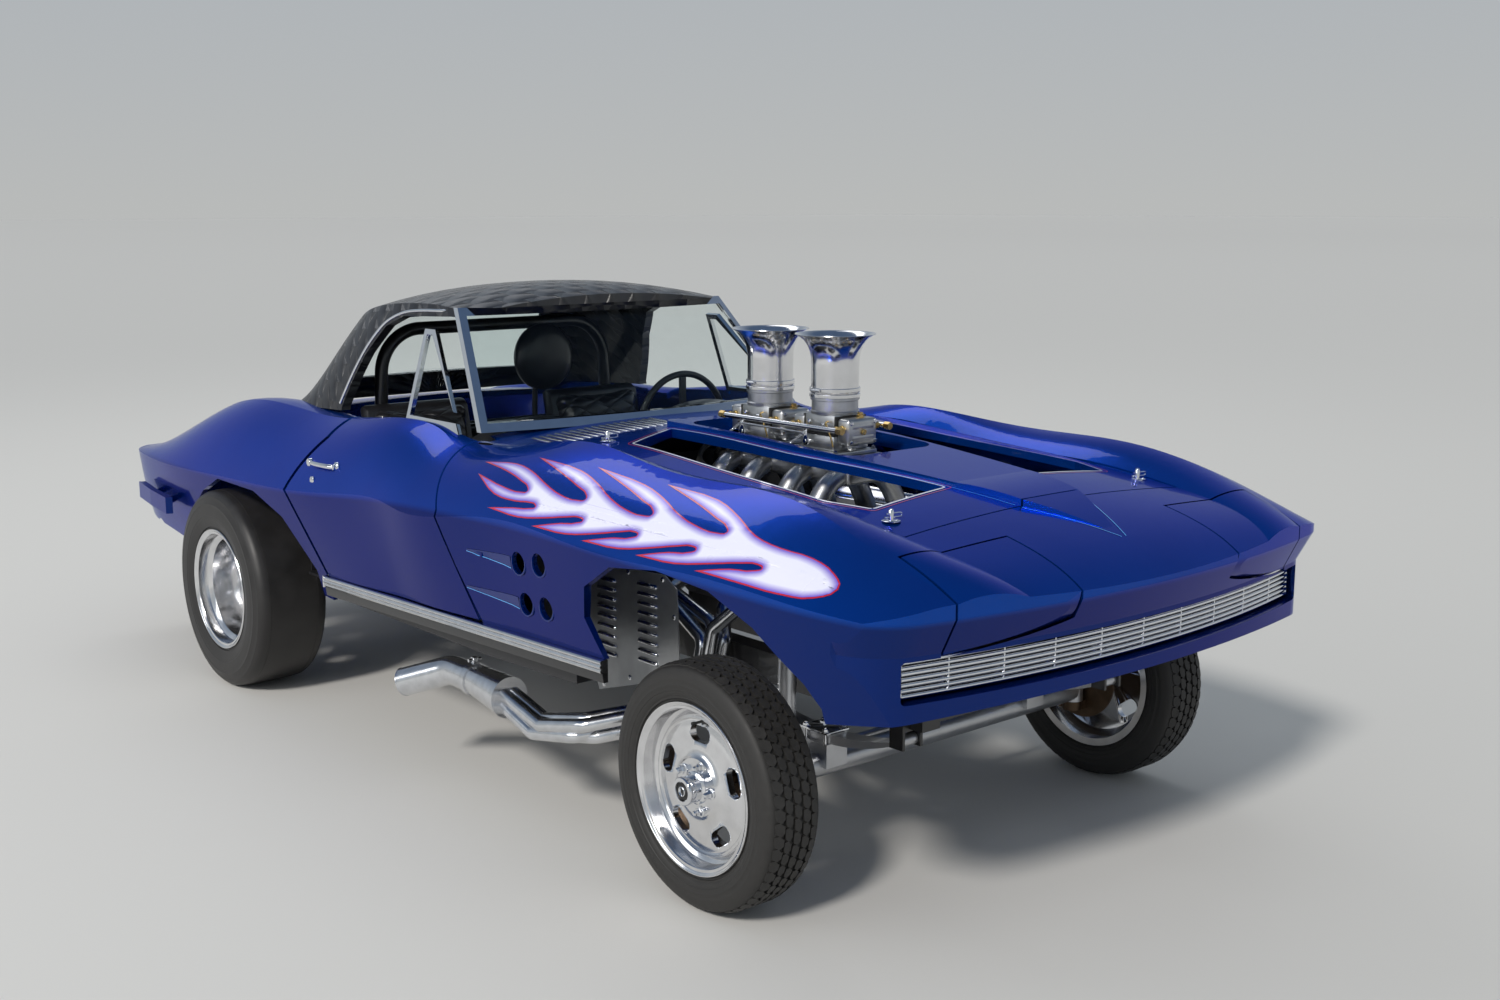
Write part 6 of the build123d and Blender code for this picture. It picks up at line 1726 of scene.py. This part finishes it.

# %% [markdown]
# Behind the four round side vents run slim flutes. Each flute is a flat wedge, projected onto the
# side of the body, which is not cut: a deep blue wedge is painted shade for the hollow, and a light
# line along its lower edge is a painted highlight. A thin turned ring rims each vent.

# %% Side flutes
def side_patch(name, outline, gap, material):
    """Fill an outline in y and z, lay it on the right side of the body and mirror it to the left."""
    deselect()
    bpy.ops.mesh.primitive_circle_add(vertices=len(outline), radius=1, fill_type="NGON", location=(0, 0, 0))
    piece = bpy.context.object
    piece.name = name
    for vertex, (y, z) in zip(piece.data.vertices, outline):
        vertex.co = (y, z, 0)
    bpy.ops.object.mode_set(mode="EDIT")
    bpy.ops.mesh.select_all(action="SELECT")
    bpy.ops.mesh.quads_convert_to_tris()
    bpy.ops.mesh.subdivide(number_cuts=5)
    bpy.ops.object.mode_set(mode="OBJECT")
    piece.matrix_world = Matrix(((0, 0, 1, -1.2), (1, 0, 0, 0), (0, 1, 0, 0), (0, 0, 0, 1)))
    bpy.context.view_layer.update()
    onto_body(piece, nodes["front_body"], gap, True)
    if sum(face.normal.x * face.area for face in piece.data.polygons) > 0:
        piece.data.flip_normals()
    bpy.ops.object.shade_smooth()
    put_pair(piece, name + "_left", "chassis", material)


VENTS = ((-0.832, 0.743), (-0.931, 0.755), (-0.842, 0.634), (-0.936, 0.639))
for n, (y, z, back) in enumerate(((-0.832, 0.743, -0.590), (-0.842, 0.634, -0.560))):
    # The deep blue wedge is painted shade where the hollow of the flute would be.
    side_patch(f"flute_{n}",
               ((y + 0.036, z - 0.017), (y + 0.070, z - 0.013), (back, z - 0.002), (back, z + 0.002),
                (y + 0.070, z + 0.012), (y + 0.036, z + 0.012)), 0.0012, deep_paint)
    # The light line is a painted highlight on the lower edge of the hollow, in the pinstripe blue.
    side_patch(f"flute_light_{n}",
               ((y + 0.036, z - 0.0205), (y + 0.070, z - 0.0165), (back, z - 0.0050), (back, z - 0.0030),
                (y + 0.070, z - 0.0140), (y + 0.036, z - 0.0180)), 0.0018, stripe_and_highlight_blue)
for n, (y, z) in enumerate(VENTS):
    spot = nodes["front_body"].ray_cast(Vector((-1.2, y + 0.040, z)), Vector((1, 0, 0)))[1]
    rim = turned(f"vent_rim_{n}",
                 [(0.0, 0.0290), (0.0, 0.0335), (0.002, 0.0345), (0.004, 0.0335), (0.004, 0.0300),
                  (0.0, 0.0290)], (spot.x + 0.003, y, z), "-X", 40)
    put_pair(rim, f"vent_rim_{n}_left", "chassis", deep_paint)
print("vent rims on each side", len(VENTS))

# %% [markdown]
# Every frame part that stays gets the finish of the real one. The table lists them once.

# %% Finishes of the frame parts
CAD_FINISH = {
    "frame": frame_black, "floor": floor_black, "front_body": body_paint, "rear_body": body_paint,
    "hardtop": roof_leather, "windshield_frame": chrome, "window_glass": screen_glass, "dash": leather,
    "seats": leather, "roll_bar": frame_black, "engine_block": engine_dark, "valve_covers": polished,
    "intake_manifold": brushed, "carburettors": brushed, "velocity_stacks": polished,
    "radiator": engine_dark, "headers": ceramic, "fender_panels": panel_grey,
    "rocker_mouldings": chrome, "grille": chrome, "bumperettes": body_paint, "front_axle": silver,
    "front_springs": silver, "shock_absorbers": silver, "rear_axle": frame_black,
    "ladder_bars": frame_black, "hood": body_paint, "tie_rod": silver, "steering_wheel": leather,
}
for side in SIDES:
    CAD_FINISH[f"door_{side}"] = body_paint
    CAD_FINISH[f"vent_window_{side}"] = chrome
    CAD_FINISH[f"headlamp_pod_{side}"] = body_paint
    CAD_FINISH[f"knuckle_{side}"] = iron
    for end in ("front", "rear"):
        CAD_FINISH[f"wheel_{end}_{side}"] = polished
        CAD_FINISH[f"tyre_{end}_{side}"] = rubber
for name, material in CAD_FINISH.items():
    nodes[name].data.materials.clear()
    nodes[name].data.materials.append(material)
print("unpainted", sorted(set(nodes) - set(CAD_FINISH)))

# %% [markdown]
# The box of the finished model is printed.

low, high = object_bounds()
print("visual box", [round(c, 3) for c in (*low, *high)])
